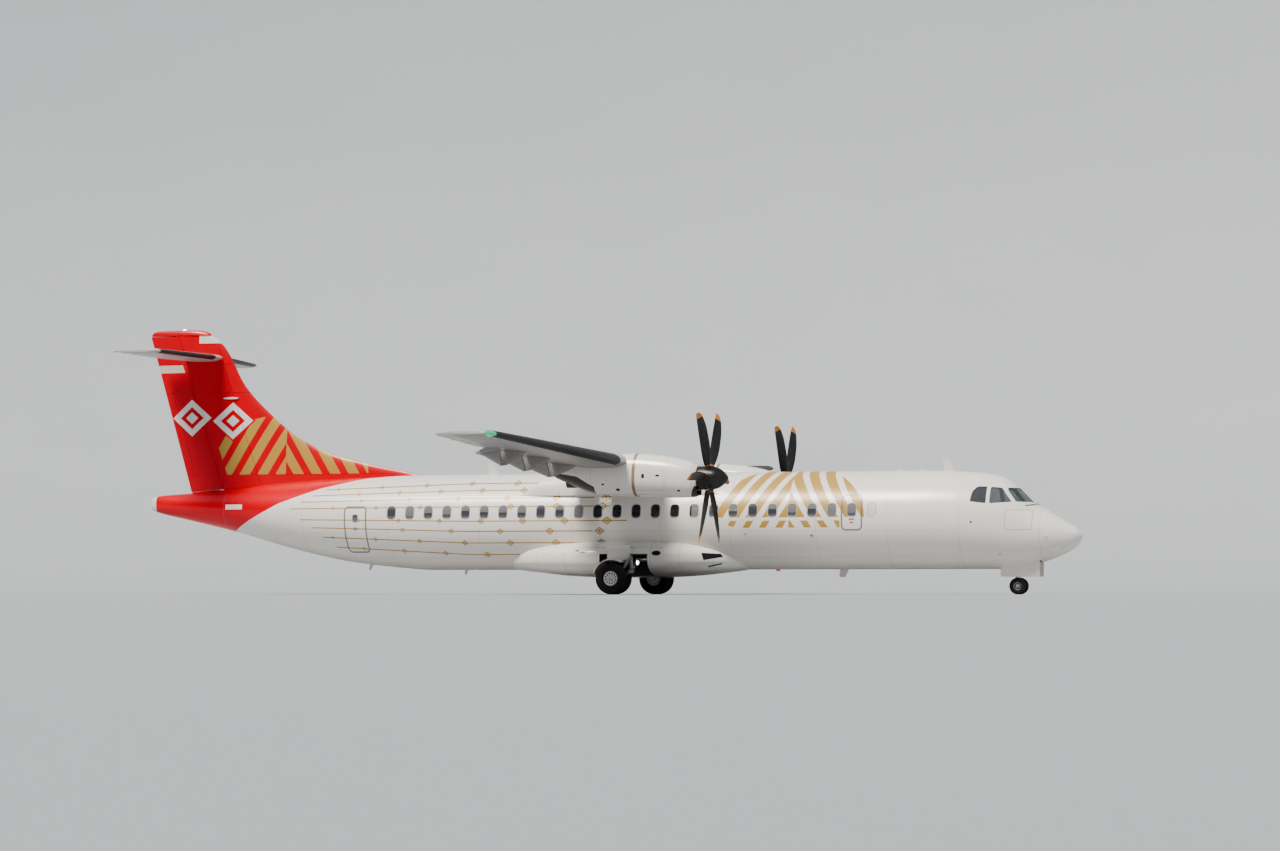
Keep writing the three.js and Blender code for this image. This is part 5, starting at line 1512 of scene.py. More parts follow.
# %% Nacelles
NACELLE = np.array([(9.51, 3.4, 2.61, .35), (9.6, 3.47, 2.575, .42), (10, 3.6, 2.56, .505),
    (10.6, 3.7, 2.57, .545), (11.2, 3.75, 2.6, .555), (12.3, 3.74, 2.66, .545), (13, 3.67, 2.905, .49),
    (13.4, 3.6, 3.08, .43), (13.85, 3.53, 3.33, .3)])
INTAKE_HALF, INTAKE_Z, INTAKE_HEIGHT, INTAKE_REAR = .23, (2.635 + 2.76) / 2, 2.76 - 2.635, 9.95
EXHAUST_Z, EXHAUST_RADIUS = 3.02, .185


def nacelle_loft():
    stations = sorted({*np.linspace(9.51, 10.0, 12), *np.linspace(10, 13.85, 34), 12.3, 13.4})
    rings = []
    for s in stations:
        top, bottom, half = smooth_curve(NACELLE, s)[0]
        rings.append(oval(s, ENGINE_Y, half, top, bottom, (top + bottom) / 2, .85, 72))
    return loft("nacelle", rings)


def bore(front, rear, z, radius, sides):
    """A round bar that runs fore and aft through the port nacelle."""
    return bar(spot(front, ENGINE_Y, z), spot(rear, ENGINE_Y, z), radius, sides=sides)


def slot_along(width, height, radius, front, rear):
    """A rounded slot that runs fore and aft at the port intake."""
    shape = rounded(ENGINE_Y, INTAKE_Z, width, height, radius)
    return loft("slot", [[(NOSE_X - s, a, b) for a, b in shape] for s in (front, rear)])


def nacelle_finish():
    finish = Finish("nacelle_paint")
    station = NOSE_X - finish.x
    across = abs(finish.y) - ENGINE_Y
    up = finish.z - SHAFT_Z
    tone = finish.noise(.9, 4)
    finish.body = finish.mix(tone * .5, WHITE, (.765, .74, .695))
    side_door = abs(box_distance(station - 10.75, up + .02, .82, .62, .05)) < .0045
    latches = (box_distance(station - 10.9, up - .05, .075, .11, .01) < 0).most(box_distance(station - 10.5,
        up - .06, .1, .05, .01) < 0) * (abs(across) > .3)
    chin = abs(up + .42) * 2 + (station < 10.3) * 9 < .009
    lines = any_of(lines_at(station, (9.62, 10.28, 12.35), .0045), side_door * (abs(across) > .2), chin)
    finish.over(lines * .6, SEAM)
    finish.over(latches, (.035, .033, .03))
    # The black de-icing boot round the intake, and three small drains low on the side, painted dark as
    # painted shade in their openings
    boot = (station + (finish.z - 2.6) * .45 < 9.66) * (finish.z < 2.86)
    for at, low, size in ((9.95, -.34, .05), (11.62, -.3, .06), (12.02, -.16, .045)):
        boot = boot.most(box_distance(station - at, up - low, size * 1.6, size, .008) < 0)
    finish.over(boot, (.03, .028, .026))
    band = abs(station - 11.17 + up * .03) < .042
    finish.over(band, finish.mix(tone, (.43, .28, .17), (.3, .19, .12)))
    # The exhaust leaves low down behind the wing's leading edge, in a black shroud with a sooty trail
    floor_line = (station - 12.3) * .38 + 2.66 - SHAFT_Z
    shroud = station.between(12.28, 13.42) * (up < floor_line + .3 - abs(station - 12.75) * .22)
    finish.over(shroud, finish.mix(tone, (.018, .016, .014), (.045, .038, .032)))
    soot = (finish.noise(1.4, 4, .2, 1, 1) * .8 + .35) * station.soft(12.6, 13.6) * (.12 - up).soft(-.2,
        .25)
    finish.over(soot.least(.92), (.045, .038, .032))
    streak = finish.noise(3, 4, .1, 1, 1).soft(.55, .8) * (0 - up).soft(.2, .5)
    finish.over(streak * .3, (.35, .3, .24))
    return finish.done(tone * .1 + .22, finish.noise(2.2, 2) * .5 - lines.most(latches) * .8,
        coat=(.4, .12))


nacelle_paint = nacelle_finish()
nacelle = nacelle_loft()
cut(nacelle, flat_surface(WING, (3.43, 4.67), CAMBER, TOUCH_GAP), block((9.8, 11.99), (3.71, 4.39),
    (2.79, 3.32)), bore(9.4, 9.9, SHAFT_Z, .0709, 40), slot_along(2 * INTAKE_HALF, INTAKE_HEIGHT, .06, 9.4,
    INTAKE_REAR), bore(13.9, 12.5, EXHAUST_Z, EXHAUST_RADIUS, 48))
dress(nacelle, "nacelle_left", "white_painted_alloy", nacelle_paint, fit_pair)

lip = cut(slot_along(.455, .12, .058, 9.5, 9.86), slot_along(.415, .086, .042, 9.4, 9.85))
fit_pair(lip, "intake_lip_left", "gear_steel", boot_black)
pipe = cut(bore(13.16, 12.55, EXHAUST_Z, .178, 64), bore(13.3, 12.62, EXHAUST_Z, .166, 64))
fit_pair(pipe, "exhaust_pipe_left", "engine_metal", exhaust_metal)
fit_pair(bevelled("engine_left", "engine_left_block", .02, 3), "engine_left_block", "engine_metal",
    engine_metal, "engine_left")

# %% Propellers and spinners
PROPELLER, SPINNER_TIP, SPINNER_JOINT, SPINNER_REAR, HUB_RADIUS = 9.22, 8.7, 9.08, 9.49, .315
BLADE = np.array([(.25, .11, .1, 62, 0), (.42, .17, .07, 60, 0), (.7, .25, .044, 52, .012),
    (1.05, .285, .03, 44, .022), (1.4, .29, .022, 37, .018), (1.75, .24, .016, 32, -.01), (1.9, .18, .012,
    30, -.04), (1.965, .09, .008, 29, -.075)])


def blade():
    rings = []
    for radius in sorted({*np.linspace(.25, 1.9, 30), *np.linspace(1.9, 1.965, 6)}):
        chord, thickness, pitch, lead = smooth_curve(BLADE, radius)[0]
        turn = turns(28)
        along, through = chord / 2 * np.cos(turn) + lead, thickness / 2 * np.sin(turn)
        angle = math.radians(pitch)
        rings.append(np.column_stack([along * math.sin(angle) + through * math.cos(angle),
            along * math.cos(angle) - through * math.sin(angle), np.full(28, radius)]))
    return loft("blade", rings)


def lathe_x(name, profile, sides=64):
    """Rings of (x, radius) about the X axis."""
    angle = turns(sides)
    return loft(name, [np.column_stack([np.full(sides, x), max(r, 1e-4) * np.cos(angle), max(r, 1e-4)
        * np.sin(angle)]) for x, r in profile])


def propeller():
    along = [PROPELLER - s for s in (SPINNER_REAR, SPINNER_REAR - .012, 9.3, SPINNER_JOINT + .004,
        SPINNER_JOINT)]
    hub = lathe_x("hub", list(zip(along, (.303, .315, .3115, .2975, .2935))))
    one = blade()
    cuff = lathe_x("cuff", [(.24, .07), (.29, .092), (.335, .088), (.345, .07)], 40)
    cuff.data.transform(Matrix.Rotation(-math.pi / 2, 4, "Y"))
    joined(hub, bar((PROPELLER - 9.79, 0, 0), (PROPELLER - 9.47, 0, 0), .07, sides=40))
    for i in range(6):
        turn = Matrix.Rotation(math.radians(30 + 60 * i), 4, "X")
        for part in (cuff, one):
            copy = twin(part)
            copy.data.transform(turn)
            joined(hub, copy)
    drop(one, cuff)
    return hub


def spinner():
    shares = 1 - np.linspace(1, 0, 24) ** 2
    profile = [(PROPELLER - SPINNER_JOINT + TOUCH_GAP + s * (SPINNER_JOINT - SPINNER_TIP - TOUCH_GAP),
        HUB_RADIUS * .94 * max(1 - s ** 1.6, 0) ** .72) for s in shares]
    return lathe_x("spinner", profile)


for maker, kind in ((propeller, "propeller"), (spinner, "spinner")):
    sample = maker()
    for side, sign in SIDES:
        piece = twin(sample)
        piece.data.transform(Matrix.Translation(spot(PROPELLER, sign * ENGINE_Y, SHAFT_Z)))
        fit(piece, f"{kind}_{side}_smooth", "black_composite", blade_black, f"{kind}_{side}",
            body=f"propeller_{side}", degrees=40)
    drop(sample)
print("nacelles and propellers ready")


# %% [markdown]
# ## Fairings over the wing root and the main gear
# One fairing blends the wing into the fuselage's top. The other bulges from its flanks and holds the
# main gear. Each wheel bay and the nose bay are lined with a dark primer.

# %% Fairings and bays
ROOT = np.array([(9.5, 3.385, 1.236), (10.4, 3.47, 1.262), (11.3, 3.64, 1.29), (12.6, 3.66, 1.3),
    (13.9, 3.625, 1.29), (14.8, 3.5, 1.258), (15.5, 3.385, 1.236)])
ROOT_BASE = 2.72
NOSE_AXLE, MAIN_AXLE = 1.72, 12.49
GEAR_FAIRING = np.array([(9.15, .56, .69, 1.13), (9.5, .98, .64, 1.3), (10.2, 1.42, .56, 1.43),
    (11, 1.74, .49, 1.51), (11.9, 1.87, .46, 1.54), (13.2, 1.87, .46, 1.53), (14.2, 1.7, .5, 1.49),
    (15.1, 1.33, .59, 1.4), (15.8, .88, .665, 1.28)])


def root_loft():
    """An arch over the fuselage, which sinks into the hull's own arc at both ends."""
    angle = np.linspace(0, np.pi, 61)
    start = math.asin((ROOT_BASE - 2.02) / 1.34)
    hull_angle = np.linspace(start, np.pi - start, 61)
    hull_arc = np.column_stack([1.43 * np.cos(hull_angle), 2.02 + 1.338 * np.sin(hull_angle)])
    rings = []
    for s in np.linspace(9.5, 15.5, 81):
        top, half = smooth_curve(ROOT, s)[0]
        arch = np.column_stack([half * np.cos(angle), ROOT_BASE + (top - ROOT_BASE)
            * np.sin(angle).clip(0) ** .75])
        blend = min(np.interp(s, (9.5, 10.4), (0, 1)), np.interp(s, (14.9, 15.5), (1, .25)))
        blend = blend * blend * (3 - 2 * blend)
        rings.append(np.column_stack([np.full(61, NOSE_X - s), hull_arc + (arch - hull_arc) * blend]))
    piece = loft("root_fairing", rings)
    slope = [(NOSE_X - 15.52, 2.7), (NOSE_X - 14.45, 3.36), (NOSE_X - 14.45, 3.9), (NOSE_X - 15.7, 3.9)]
    return cut(piece, plate_across(slope, -1.6, 1.6))


def gear_loft(margin=0.0):
    rings = []
    for s in np.linspace(9.15, 15.8, 80):
        half, bottom, top = smooth_curve(GEAR_FAIRING, s)[0]
        rings.append(oval(s, 0, half + margin, top + margin, bottom - margin, (top + bottom) / 2, .75, 96))
    return loft("gear_fairing", rings)


def gear_fairing_finish():
    finish = Finish("gear_fairing_paint")
    station = NOSE_X - finish.x
    tone = finish.noise(.8, 4)
    low = (1.0 - finish.z).soft(0, .5)
    finish.body = finish.mix(tone * .5, WHITE, (.76, .735, .69))
    joints = lines_at(station, (9.9, 10.75, 11.52, 13.05, 14.0, 14.9), .0045)
    joints = joints.most((abs(finish.z - 1.28) < .004) * station.between(9.9, 14.9))
    joints = joints.most(abs(box_distance(station - 12.4, finish.z - 1.16, .78, .22, .03)) < .004)
    marks = (box_distance(station - 13.62, finish.z - 1.19, .11, .05, .01) < 0).most(box_distance(station
        - 13.45, finish.z - 1.14, .14, .035, .01) < 0)
    finish.over(joints * .6, SEAM)
    finish.over(marks * .8, (.13, .12, .11))
    # Streaky dirt low down, and an even painted shade that darkens the lower side towards the bottom
    dirt = finish.noise(2.0, 4, .12, 1, 1).soft(.45, .75) * low
    finish.over(dirt * .5 + low * .12, (.4, .35, .29))
    return finish.done(tone * .1 + .24, finish.noise(2, 2) * .5 - joints * .8, coat=(.35, .14))


gear_fairing_paint = gear_fairing_finish()
bay_primer = flat_paint("bay_primer", (.075, .078, .07), .7, coat=0.0)
root = cut(root_loft(), hull_between(8, 17, -TOUCH_GAP), flat_surface(WING, (-2, 2), CAMBER, TOUCH_GAP))
dress(root, "wing_root_fairing", "white_paint", root_paint)

fairing = cut(gear_loft(), hull_between(8, 17, -TOUCH_GAP))
for side, sign in SIDES:
    liner = common(block((11.601, 12.959), (sign * 1.001, sign * 2.3), (.2, 1.099)), gear_loft(-.002))
    cut(liner, block((11.612, 12.948), (sign * 1.012, sign * 2.4), (0, 1.088)))
    fit(liner, "wheel_bay_liner_" + side, "white_paint", bay_primer)
    cut(fairing, block((11.6, 12.96), (sign * 1.0, sign * 2.4), (0, 1.1)))
dress(fairing, "gear_fairing", "white_paint", gear_fairing_paint)
liner = common(block((1.061, 2.179), (-.289, .289), (.3, 1.249)), hull_between(.9, 2.3, .002))
cut(liner, block((1.072, 2.168), (-.278, .278), (0, 1.238)), bar(spot(NOSE_AXLE, 0, 1.2), spot(NOSE_AXLE, 0,
    1.3), .1))
fit(liner, "nose_bay_liner", "white_paint", bay_primer)

# Inlets, slots and a duct on the gear fairing, laid on its skin as thin patches, their hollows painted
# near-black as painted shade
def fairing_y(station, z):
    half, bottom, top = smooth_curve(GEAR_FAIRING, station)[0]
    middle = (top + bottom) / 2
    rise = min(abs(z - middle) / ((top - bottom) / 2), .999)
    return half * (1 - rise ** (1 / .75 * 2)) ** (.75 / 2)


def on_fairing(points, name, finish, lift=.002, depth=.008):
    """A thin patch of (station, z) points, wrapped on the port flank, and its twin."""
    dense = spaced([(NOSE_X - s, z) for s, z in points], .02)
    middle = np.mean(dense, axis=0)
    rings = [[(x, fairing_y(NOSE_X - x, z) - depth, z) for x, z in dense]]
    for share in (1, .75, .5, .25, .08):
        ring = [middle + (np.array(p) - middle) * share for p in dense]
        rings.append([(x, fairing_y(NOSE_X - x, z) + lift, z) for x, z in ring])
    return fit_pair(loft(name, rings), name, "white_paint", finish)


def oval_points(station, z, width, height):
    return [(station + width / 2 * math.cos(a), z + height / 2 * math.sin(a)) for a in turns(28)]


on_fairing(softened([(9.72, 1.1), (9.66, 1.02), (10.14, .93), (10.2, 1.13)], .02), "fairing_inlet_left",
    dark_hollow)
on_fairing(softened([(9.7, .85), (9.7, .82), (10.05, .735), (10.05, .77)], .01), "fairing_slot_left",
    dark_hollow)
on_fairing(oval_points(11.36, 1.12, .29, .17), "fairing_duct_rim_left", flat_paint("duct_rim_white", WHITE),
    .01, .01)
on_fairing(oval_points(11.36, 1.12, .24, .13), "fairing_duct_left", dark_hollow, .012)
print("fairings and bays ready")


# %% [markdown]
# ## Landing gear
# The main wheels are twins on trailing arms, with a shock strut to each. Tyres are turned from a
# smooth profile with four grooves. Bolts repeat round a hub, so a second Geometry Nodes tree
# places them: it puts one bolt on each point of a circle, turned to face outward.

# %% Wheels
GROOVES = (-.52, -.18, .18, .52)
WHEEL_SIDES = 96


def lathe_y(name, profile, place):
    """A solid turned about the Y axis from (radius, y) pairs that start and end at the axis."""
    angle = turns(WHEEL_SIDES)
    rings = [np.column_stack([max(r, 1e-4) * np.cos(angle) + place[0], np.full(WHEEL_SIDES, y + place[1]),
        max(r, 1e-4) * np.sin(angle) + place[2]]) for r, y in profile]
    return loft(name, rings)


def hoop_y(name, profile, place):
    """A ring turned about the Y axis from a closed loop of (radius, y) pairs."""
    verts = [(r * math.cos(a) + place[0], y + place[1], r * math.sin(a) + place[2]) for a
        in turns(WHEEL_SIDES) for r, y in profile]
    return outward(new_piece(name, verts, bands(WHEEL_SIDES, len(profile), WHEEL_SIDES)))


def tyre_profile(radius, width, rim):
    half, wall = width / 2, radius - rim
    rows = np.array([(-1, rim + TOUCH_GAP, .72), (-.8, rim + wall * .2, .93), (-.55, rim + wall * .45, 1.0),
        (-.32, rim + wall * .72, .955), (-.16, radius * .945, .83), (-.06, radius * .985, .62),
        (0, radius * .9985, .42)])
    side = smooth_curve(rows, np.linspace(-1, 0, 16))
    crown = [(radius, share * half) for share in np.linspace(-.4, .4, 9)[1:-1]]
    for groove in GROOVES:
        for offset, deep in ((-.007, 0), (-.005, 1), (.005, 1), (.007, 0)):
            y = groove * half * .78 + offset
            crown.append((radius * .9995 - deep * .008 - .006 * (y / half) ** 2, y))
    crown = sorted(sorted(crown), key=lambda p: p[1])
    left = [(r, -share * half) for r, share in side]
    return left + crown + [(r, -y) for r, y in left[::-1]]


def wheel_finish(name, centre, rim, colour, second):
    """Painted wheel: cooling holes painted dark as painted shade, a bare bead edge, and brake dust toward the
    hub.
    """
    finish = Finish(name)
    dx, dz = finish.x - centre[0], finish.z - centre[1]
    radius = (dx ** 2 + dz ** 2).sqrt()
    angle = dz.calc("ARCTAN2", dx) / (2 * math.pi) + 1
    around = (angle.cycle(1 / 12) - .5) * (2 * math.pi / 12)
    # The cooling holes are dark ovals of painted shade, with a dip in the bump
    hole = (((around * radius) / .016) ** 2 + ((radius - rim * .7) / .026) ** 2) < 1
    grain = finish.noise(14, 4)
    finish.body = finish.mix(grain * .5, colour, second)
    dust = finish.noise(9, 4).soft(.4, .75) * (rim * .75 - radius).soft(0, .12)
    finish.over(dust * .55, (.12, .1, .08))
    finish.over(radius > rim * .93, (.42, .42, .41))
    finish.over(hole, (.015, .015, .015))
    return finish.done(grain * .2 + .34, grain * .3 - hole * 1.5, .004, .4, Metallic=(radius > rim * .93)
        * .8)


def circle_points(add, link, given):
    """Points round a circle in the XZ plane."""
    circle, lay, move = (add("GeometryNode" + kind) for kind in ("MeshCircle", "Transform", "Transform"))
    lay.inputs["Rotation"].default_value = (math.pi / 2, 0, 0)
    link(given["Count"], circle.inputs["Vertices"])
    link(given["Radius"], circle.inputs["Radius"])
    link(circle.outputs["Mesh"], lay.inputs["Geometry"])
    link(lay.outputs[0], move.inputs["Geometry"])
    link(given["Place"], move.inputs["Translation"])
    return move.outputs[0]


BOLT_RING = placing_tree("bolt_ring", {"Radius": "Float", "Place": "Vector"}, circle_points)


def wheel_pair(name, body, radius, width, rim, spacing, axle, lug_half, x, y, bolt_count, colour, second,
        tyre_nodes):
    """Two tyres and their rims on one axle, replacing the CAD's three nodes."""
    inner, outer = spacing / 2 - width * .36, spacing / 2 + width * .36
    hub = rim * .3
    half = [(axle, lug_half + .002), (rim * .4, lug_half + .002), (rim * .45, inner + .02),
        (rim * .97, inner + .02), (rim, inner + .023), (rim, outer - .004), (rim * .985, outer),
        (rim * .945, outer - .002), (rim * .92, outer - .012), (rim * .86, outer - .02),
        (rim * .8, outer - .034), (rim * .58, outer - .042), (rim * .46, outer - .04),
        (hub + .008, outer - .034), (hub, outer - .026), (hub, outer - .008), (hub * .9, outer - .003),
        (hub * .55, outer - .001), (hub * .5, outer - .006), (0, outer - .006)]
    both = [(r, -v) for r, v in half[::-1]] + half
    rims = lathe_y("rims", both, (x, y, radius))
    finish = wheel_finish(name + "_wheel_paint", (x, radius), rim, colour, second)
    fit(rims, name + "_rims_smooth", "wheel_alloy", finish, name + "_rims", body=body, degrees=25)
    for (side, sign), node in zip(SIDES, tyre_nodes):
        place = (x, y + sign * spacing / 2, radius)
        tyre = hoop_y("tyre", tyre_profile(radius, width, rim), place)
        fit(tyre, f"{name}_{side}_tyre_smooth", "tyre_rubber", tyre_rubber, node, body=body, degrees=28)
        face = y + sign * (outer - .036)
        bolt = bar((0, -.008 * sign, 0), (0, .01 * sign, 0), rim * .042, rim * .036, 6)
        ring = repeated(f"{name}_{side}_bolts", BOLT_RING, Piece=bolt, Count=bolt_count, Radius=rim * .5,
            Place=(x, face, radius), Finish=bright_metal)
        fit(ring, f"{name}_{side}_bolts", "gear_steel", bright_metal, body=body)
        drop(bolt)


TRACK, MAIN_RADIUS, NOSE_RADIUS = 2.05, .432, .225
for side, sign in SIDES:
    name = f"main_wheels_{side}"
    wheel_pair(name, name, MAIN_RADIUS, .254, .205, .43, .042, .065, NOSE_X - MAIN_AXLE, sign * TRACK, 10,
        (.86, .85, .82), (.78, .77, .74), [f"{name}_tyre_left", f"{name}_tyre_right"])
wheel_pair("nose_wheels", "nose_wheels", NOSE_RADIUS, .19, .11, .34, .026, .05, NOSE_X - NOSE_AXLE, 0, 8,
    (.6, .6, .58), (.45, .45, .44), ["nose_wheels_tyre_left", "nose_wheels_tyre_right"])

# %% Main legs, nose leg and gear doors
TRUNNION, KNUCKLE, AXLE = spot(12.0, 1.48, .96), spot(11.975, TRACK, .64), spot(MAIN_AXLE, TRACK,
    MAIN_RADIUS)
SHOCK_TOP, SHOCK_FOOT = spot(12.01, TRACK, 1.01), spot(12.34, TRACK, .5)


def main_leg():
    leg = bar(spot(11.6003, 1.48, .96), spot(12.9597, 1.48, .96), .07, sides=48)
    joined(leg, bar(TRUNNION, KNUCKLE, .088, .064, 48), bar(KNUCKLE, AXLE, .058, .052, 48),
        pin(KNUCKLE, .072, .07, 48), bar(KNUCKLE, SHOCK_TOP, .05, .046, 40), bar(SHOCK_TOP, SHOCK_FOOT, .04,
        sides=40), pin(AXLE, .065, .078, 56))
    for a, b, low, high, r in ((SHOCK_TOP, SHOCK_FOOT, .0, .52, .052), (SHOCK_TOP, SHOCK_FOOT, .5, .55,
            .06), (TRUNNION, KNUCKLE, .12, .2, .092), (KNUCKLE, AXLE, .25, .33, .066), (KNUCKLE, AXLE, .72,
            .8, .062)):
        joined(leg, bar(a.lerp(b, low), a.lerp(b, high), r, sides=40))
    for end in (SHOCK_TOP, SHOCK_FOOT, KNUCKLE):
        joined(leg, pin(end, .062, .046 if end is not KNUCKLE else .05, 32))
    for station in (12.15, 12.65):
        joined(leg, block((station - .025, station + .025), (1.48, 1.8897), (.942, .99)))
    cut(leg, pin(AXLE, .12, .0429, 48))
    return leg


def tube(points, radius, name):
    """A pipe along a line of points."""
    curve = bpy.data.curves.new(name, "CURVE")
    curve.dimensions, curve.bevel_depth, curve.bevel_resolution, curve.use_fill_caps = "3D", radius, 3, True
    spline = curve.splines.new("BEZIER")
    spline.bezier_points.add(len(points) - 1)
    for made, given in zip(spline.bezier_points, points):
        made.co = given
        made.handle_left_type = made.handle_right_type = "AUTO"
    spline.resolution_u = 8
    piece = placed(name, curve)
    mesh = shape_of(piece)
    drop(piece)
    return outward(placed(name, mesh))


dress(main_leg(), "main_leg_left", "gear_steel", gear_metal, fit_pair)
chrome = bar(SHOCK_TOP.lerp(SHOCK_FOOT, .54), SHOCK_TOP.lerp(SHOCK_FOOT, .93), .042, sides=40)
fit_pair(chrome, "shock_piston_left", "gear_steel", bright_metal)
for number, shift in enumerate((-.055, .055)):
    hose = tube([spot(12.03, 1.6, .99), spot(11.93, 1.8, .84), KNUCKLE + Vector((.06, shift, .06)),
        KNUCKLE.lerp(AXLE, .4) + Vector((0, shift, .08)), AXLE + Vector((.06, shift, .085))], .009, "hose")
    fit_pair(hose, f"brake_hose_{number}_left", "tyre_rubber", seal_rubber)


def arch_lip(inner, reach, radius, thick, low, high):
    """The part of a gear door that curves over a tyre."""
    rings = []
    for angle in np.radians(np.linspace(low, high, 36)):
        at = [(NOSE_X - (MAIN_AXLE - r * math.cos(angle)), MAIN_RADIUS + r * math.sin(angle)) for r
            in (radius, radius + thick)]
        rings.append([(at[0][0], inner, at[0][1]), (at[0][0], inner + reach - .006, at[0][1]),
            (at[0][0], inner + reach, (at[0][1] + at[1][1]) / 2), (at[1][0], inner + reach - .006,
            at[1][1]), (at[1][0], inner, at[1][1])])
    return loft("lip", rings)


door = arch_lip(1.89, .42, .5, .034, 60, 165)
joined(door, plate_across(rounded(NOSE_X - 12.4, 1.13, .64, .4, .03), 1.89, 1.918))
dress(door, "main_leg_door_left", "white_painted_alloy", door_inner_paint, fit_pair)

# Nose leg: outer cylinder, drag brace and brackets, and the steered piston below it
base = spot(NOSE_AXLE, 0, 0)
up = Vector((0, 0, 1))
leg = bar(base + up * .66, base + up * 1.2497, .074, sides=56)
joined(leg, bar(base + Vector((.06, 0, .8)), spot(2.14, 0, 1.22), .034, sides=32), block((2.06, 2.1797),
    (-.06, .06), (1.16, 1.2497)), bar(base + up * .7, base + up * .74, .081, sides=56), bar(base + up * .98,
    base + up * 1.03, .082, sides=56))
cut(leg, bar(base + up * .6, base + up * 1.054, .0489, sides=48))
dress(leg, "nose_leg", "gear_steel", gear_metal)
piston = bar(base + up * .225, base + up * 1.05, .048, sides=48)
joined(piston, pin(spot(NOSE_AXLE, 0, NOSE_RADIUS), .05, .062, 48), bar(base + up * .59, base + up * .652,
    .062, .07, 48))
cut(piston, pin(spot(NOSE_AXLE, 0, NOSE_RADIUS), .09, .0269, 40))
dress(piston, "nose_steering", "gear_steel", bright_metal)
for side, sign in SIDES:
    door = plate_across(rounded(NOSE_X - 1.63, .789, 1.06, .622, .03), sign * .305, sign * .327)
    cut(door, hull_between(.9, 2.3, -TOUCH_GAP))
    dress(door, f"nose_door_{side}", "white_painted_alloy", door_inner_paint)
print("landing gear ready")


# %% [markdown]
# ## Lamps, antennas, probes and wipers
# These small fittings give an airliner its scale. Each is a real little solid that starts inside the
# skin, so none floats. Lenses are glossy, and the lamps that the photograph shows lit glow.

# %% Fittings
def glow(name, colour, strength, edge=(.5, .5, .5)):
    finish = Finish(name)
    spark = finish.noise(40, 2)
    finish.body = finish.mix(spark * .2, edge, colour)
    return finish.done(.08, coat=(1.0, .03), Emission_Color=finish.mix(spark * .1, colour, (1.0, 1.0, 1.0)),
        Emission_Strength=strength)


def blister(name, slot, finish, centre, size):
    """A smooth little dome with half sizes along x, y and z."""
    rings = []
    for share in np.linspace(-.995, .995, 17):
        r = math.sqrt(1 - share ** 2)
        rings.append([(centre[0] + size[0] * share, centre[1] + size[1] * r * math.cos(a), centre[2]
            + size[2] * r * math.sin(a)) for a in turns(28)])
    return fit(loft(name, rings), name, slot, finish)


def fin_blade(name, station, base, height, chord, lean, thickness=.022):
    """A blade antenna that leans aft. A negative height hangs it under the belly."""
    rings = []
    for share in (0, .15, .35, .6, .85, .95, 1):
        c = chord * (1 - .38 * share) * (1 if share < 1 else .8)
        nose = station + lean * share
        points = foil_points(c, thickness / c * (1 - .35 * share), 0)
        rings.append([(NOSE_X - nose - aft, rise, base + height * share) for aft, rise in points])
    return fit(loft(name, rings), name, "white_paint", white_fitting)


white_fitting = flat_paint("fitting_white", (.78, .76, .72), .35)
lamp_clear = glow("lamp_clear", (1.0, .93, .8), 14.0)
lamp_white = glow("lamp_white_lens", (.95, .95, .92), .6)
lamp_green = glow("lamp_green_lens", (.02, .55, .22), .5, (.01, .32, .12))
lamp_red = glow("lamp_red_lens", (.75, .02, .01), .5, (.45, .01, .01))
fin_blade("antenna_top_forward", 3.45, 3.31, .36, .3, .17)
fin_blade("antenna_top_aft", 16.5, 3.34, .34, .28, .16)
fin_blade("antenna_belly", 6.4, .69, -.22, .26, .12)
fin_blade("drain_mast_tail", 20.25, .85, -.17, .12, .08, .03)
fin_blade("drain_mast_centre", 17.4, .69, -.14, .1, .06, .03)
for number, station in enumerate((4.35, 4.95)):
    blister(f"antenna_dome_{number}", "white_paint", white_fitting, (NOSE_X - station, 0, 3.352),
        (.11, .055, .03))
blister("belly_beacon", "white_paint", lamp_red, (NOSE_X - 8.4, 0, .675), (.07, .05, .045))
blister("fin_beacon", "red_paint", glow("lamp_beacon", (1.0, .9, .82), 6.0), (NOSE_X - 26.12, 0, 7.606),
    (.062, .043, .043))
blister("tail_lamp", "red_paint", lamp_white, (NOSE_X - 27.085, 0, 2.595), (.03, .05, .14))
cone_end = hull_between(27.05, 27.1, -.003)
cone_end.data.transform(Matrix.Translation((-.004, 0, 0)))
cone_cap = cut(joined(hull_between(26.93, 27.1, -.003), cone_end), hull_between(26.9, 27.1, .004))
fit(cone_cap, "tail_cone_end_cap", "white_paint", white_fitting)
patch = common(loft("tip_patch", [fin_ring(z) for z in np.linspace(7.22, 7.452, 8)]), block((24.5, 25.62),
    (-.2, .2), (7.2, 7.5)))
patch.data.transform(Matrix.Translation((.004, 0, 0)) @ Matrix.Scale(1.05, 4, (0, 1, 0)))
fit(patch, "fin_tip_panel", "white_paint", white_fitting)

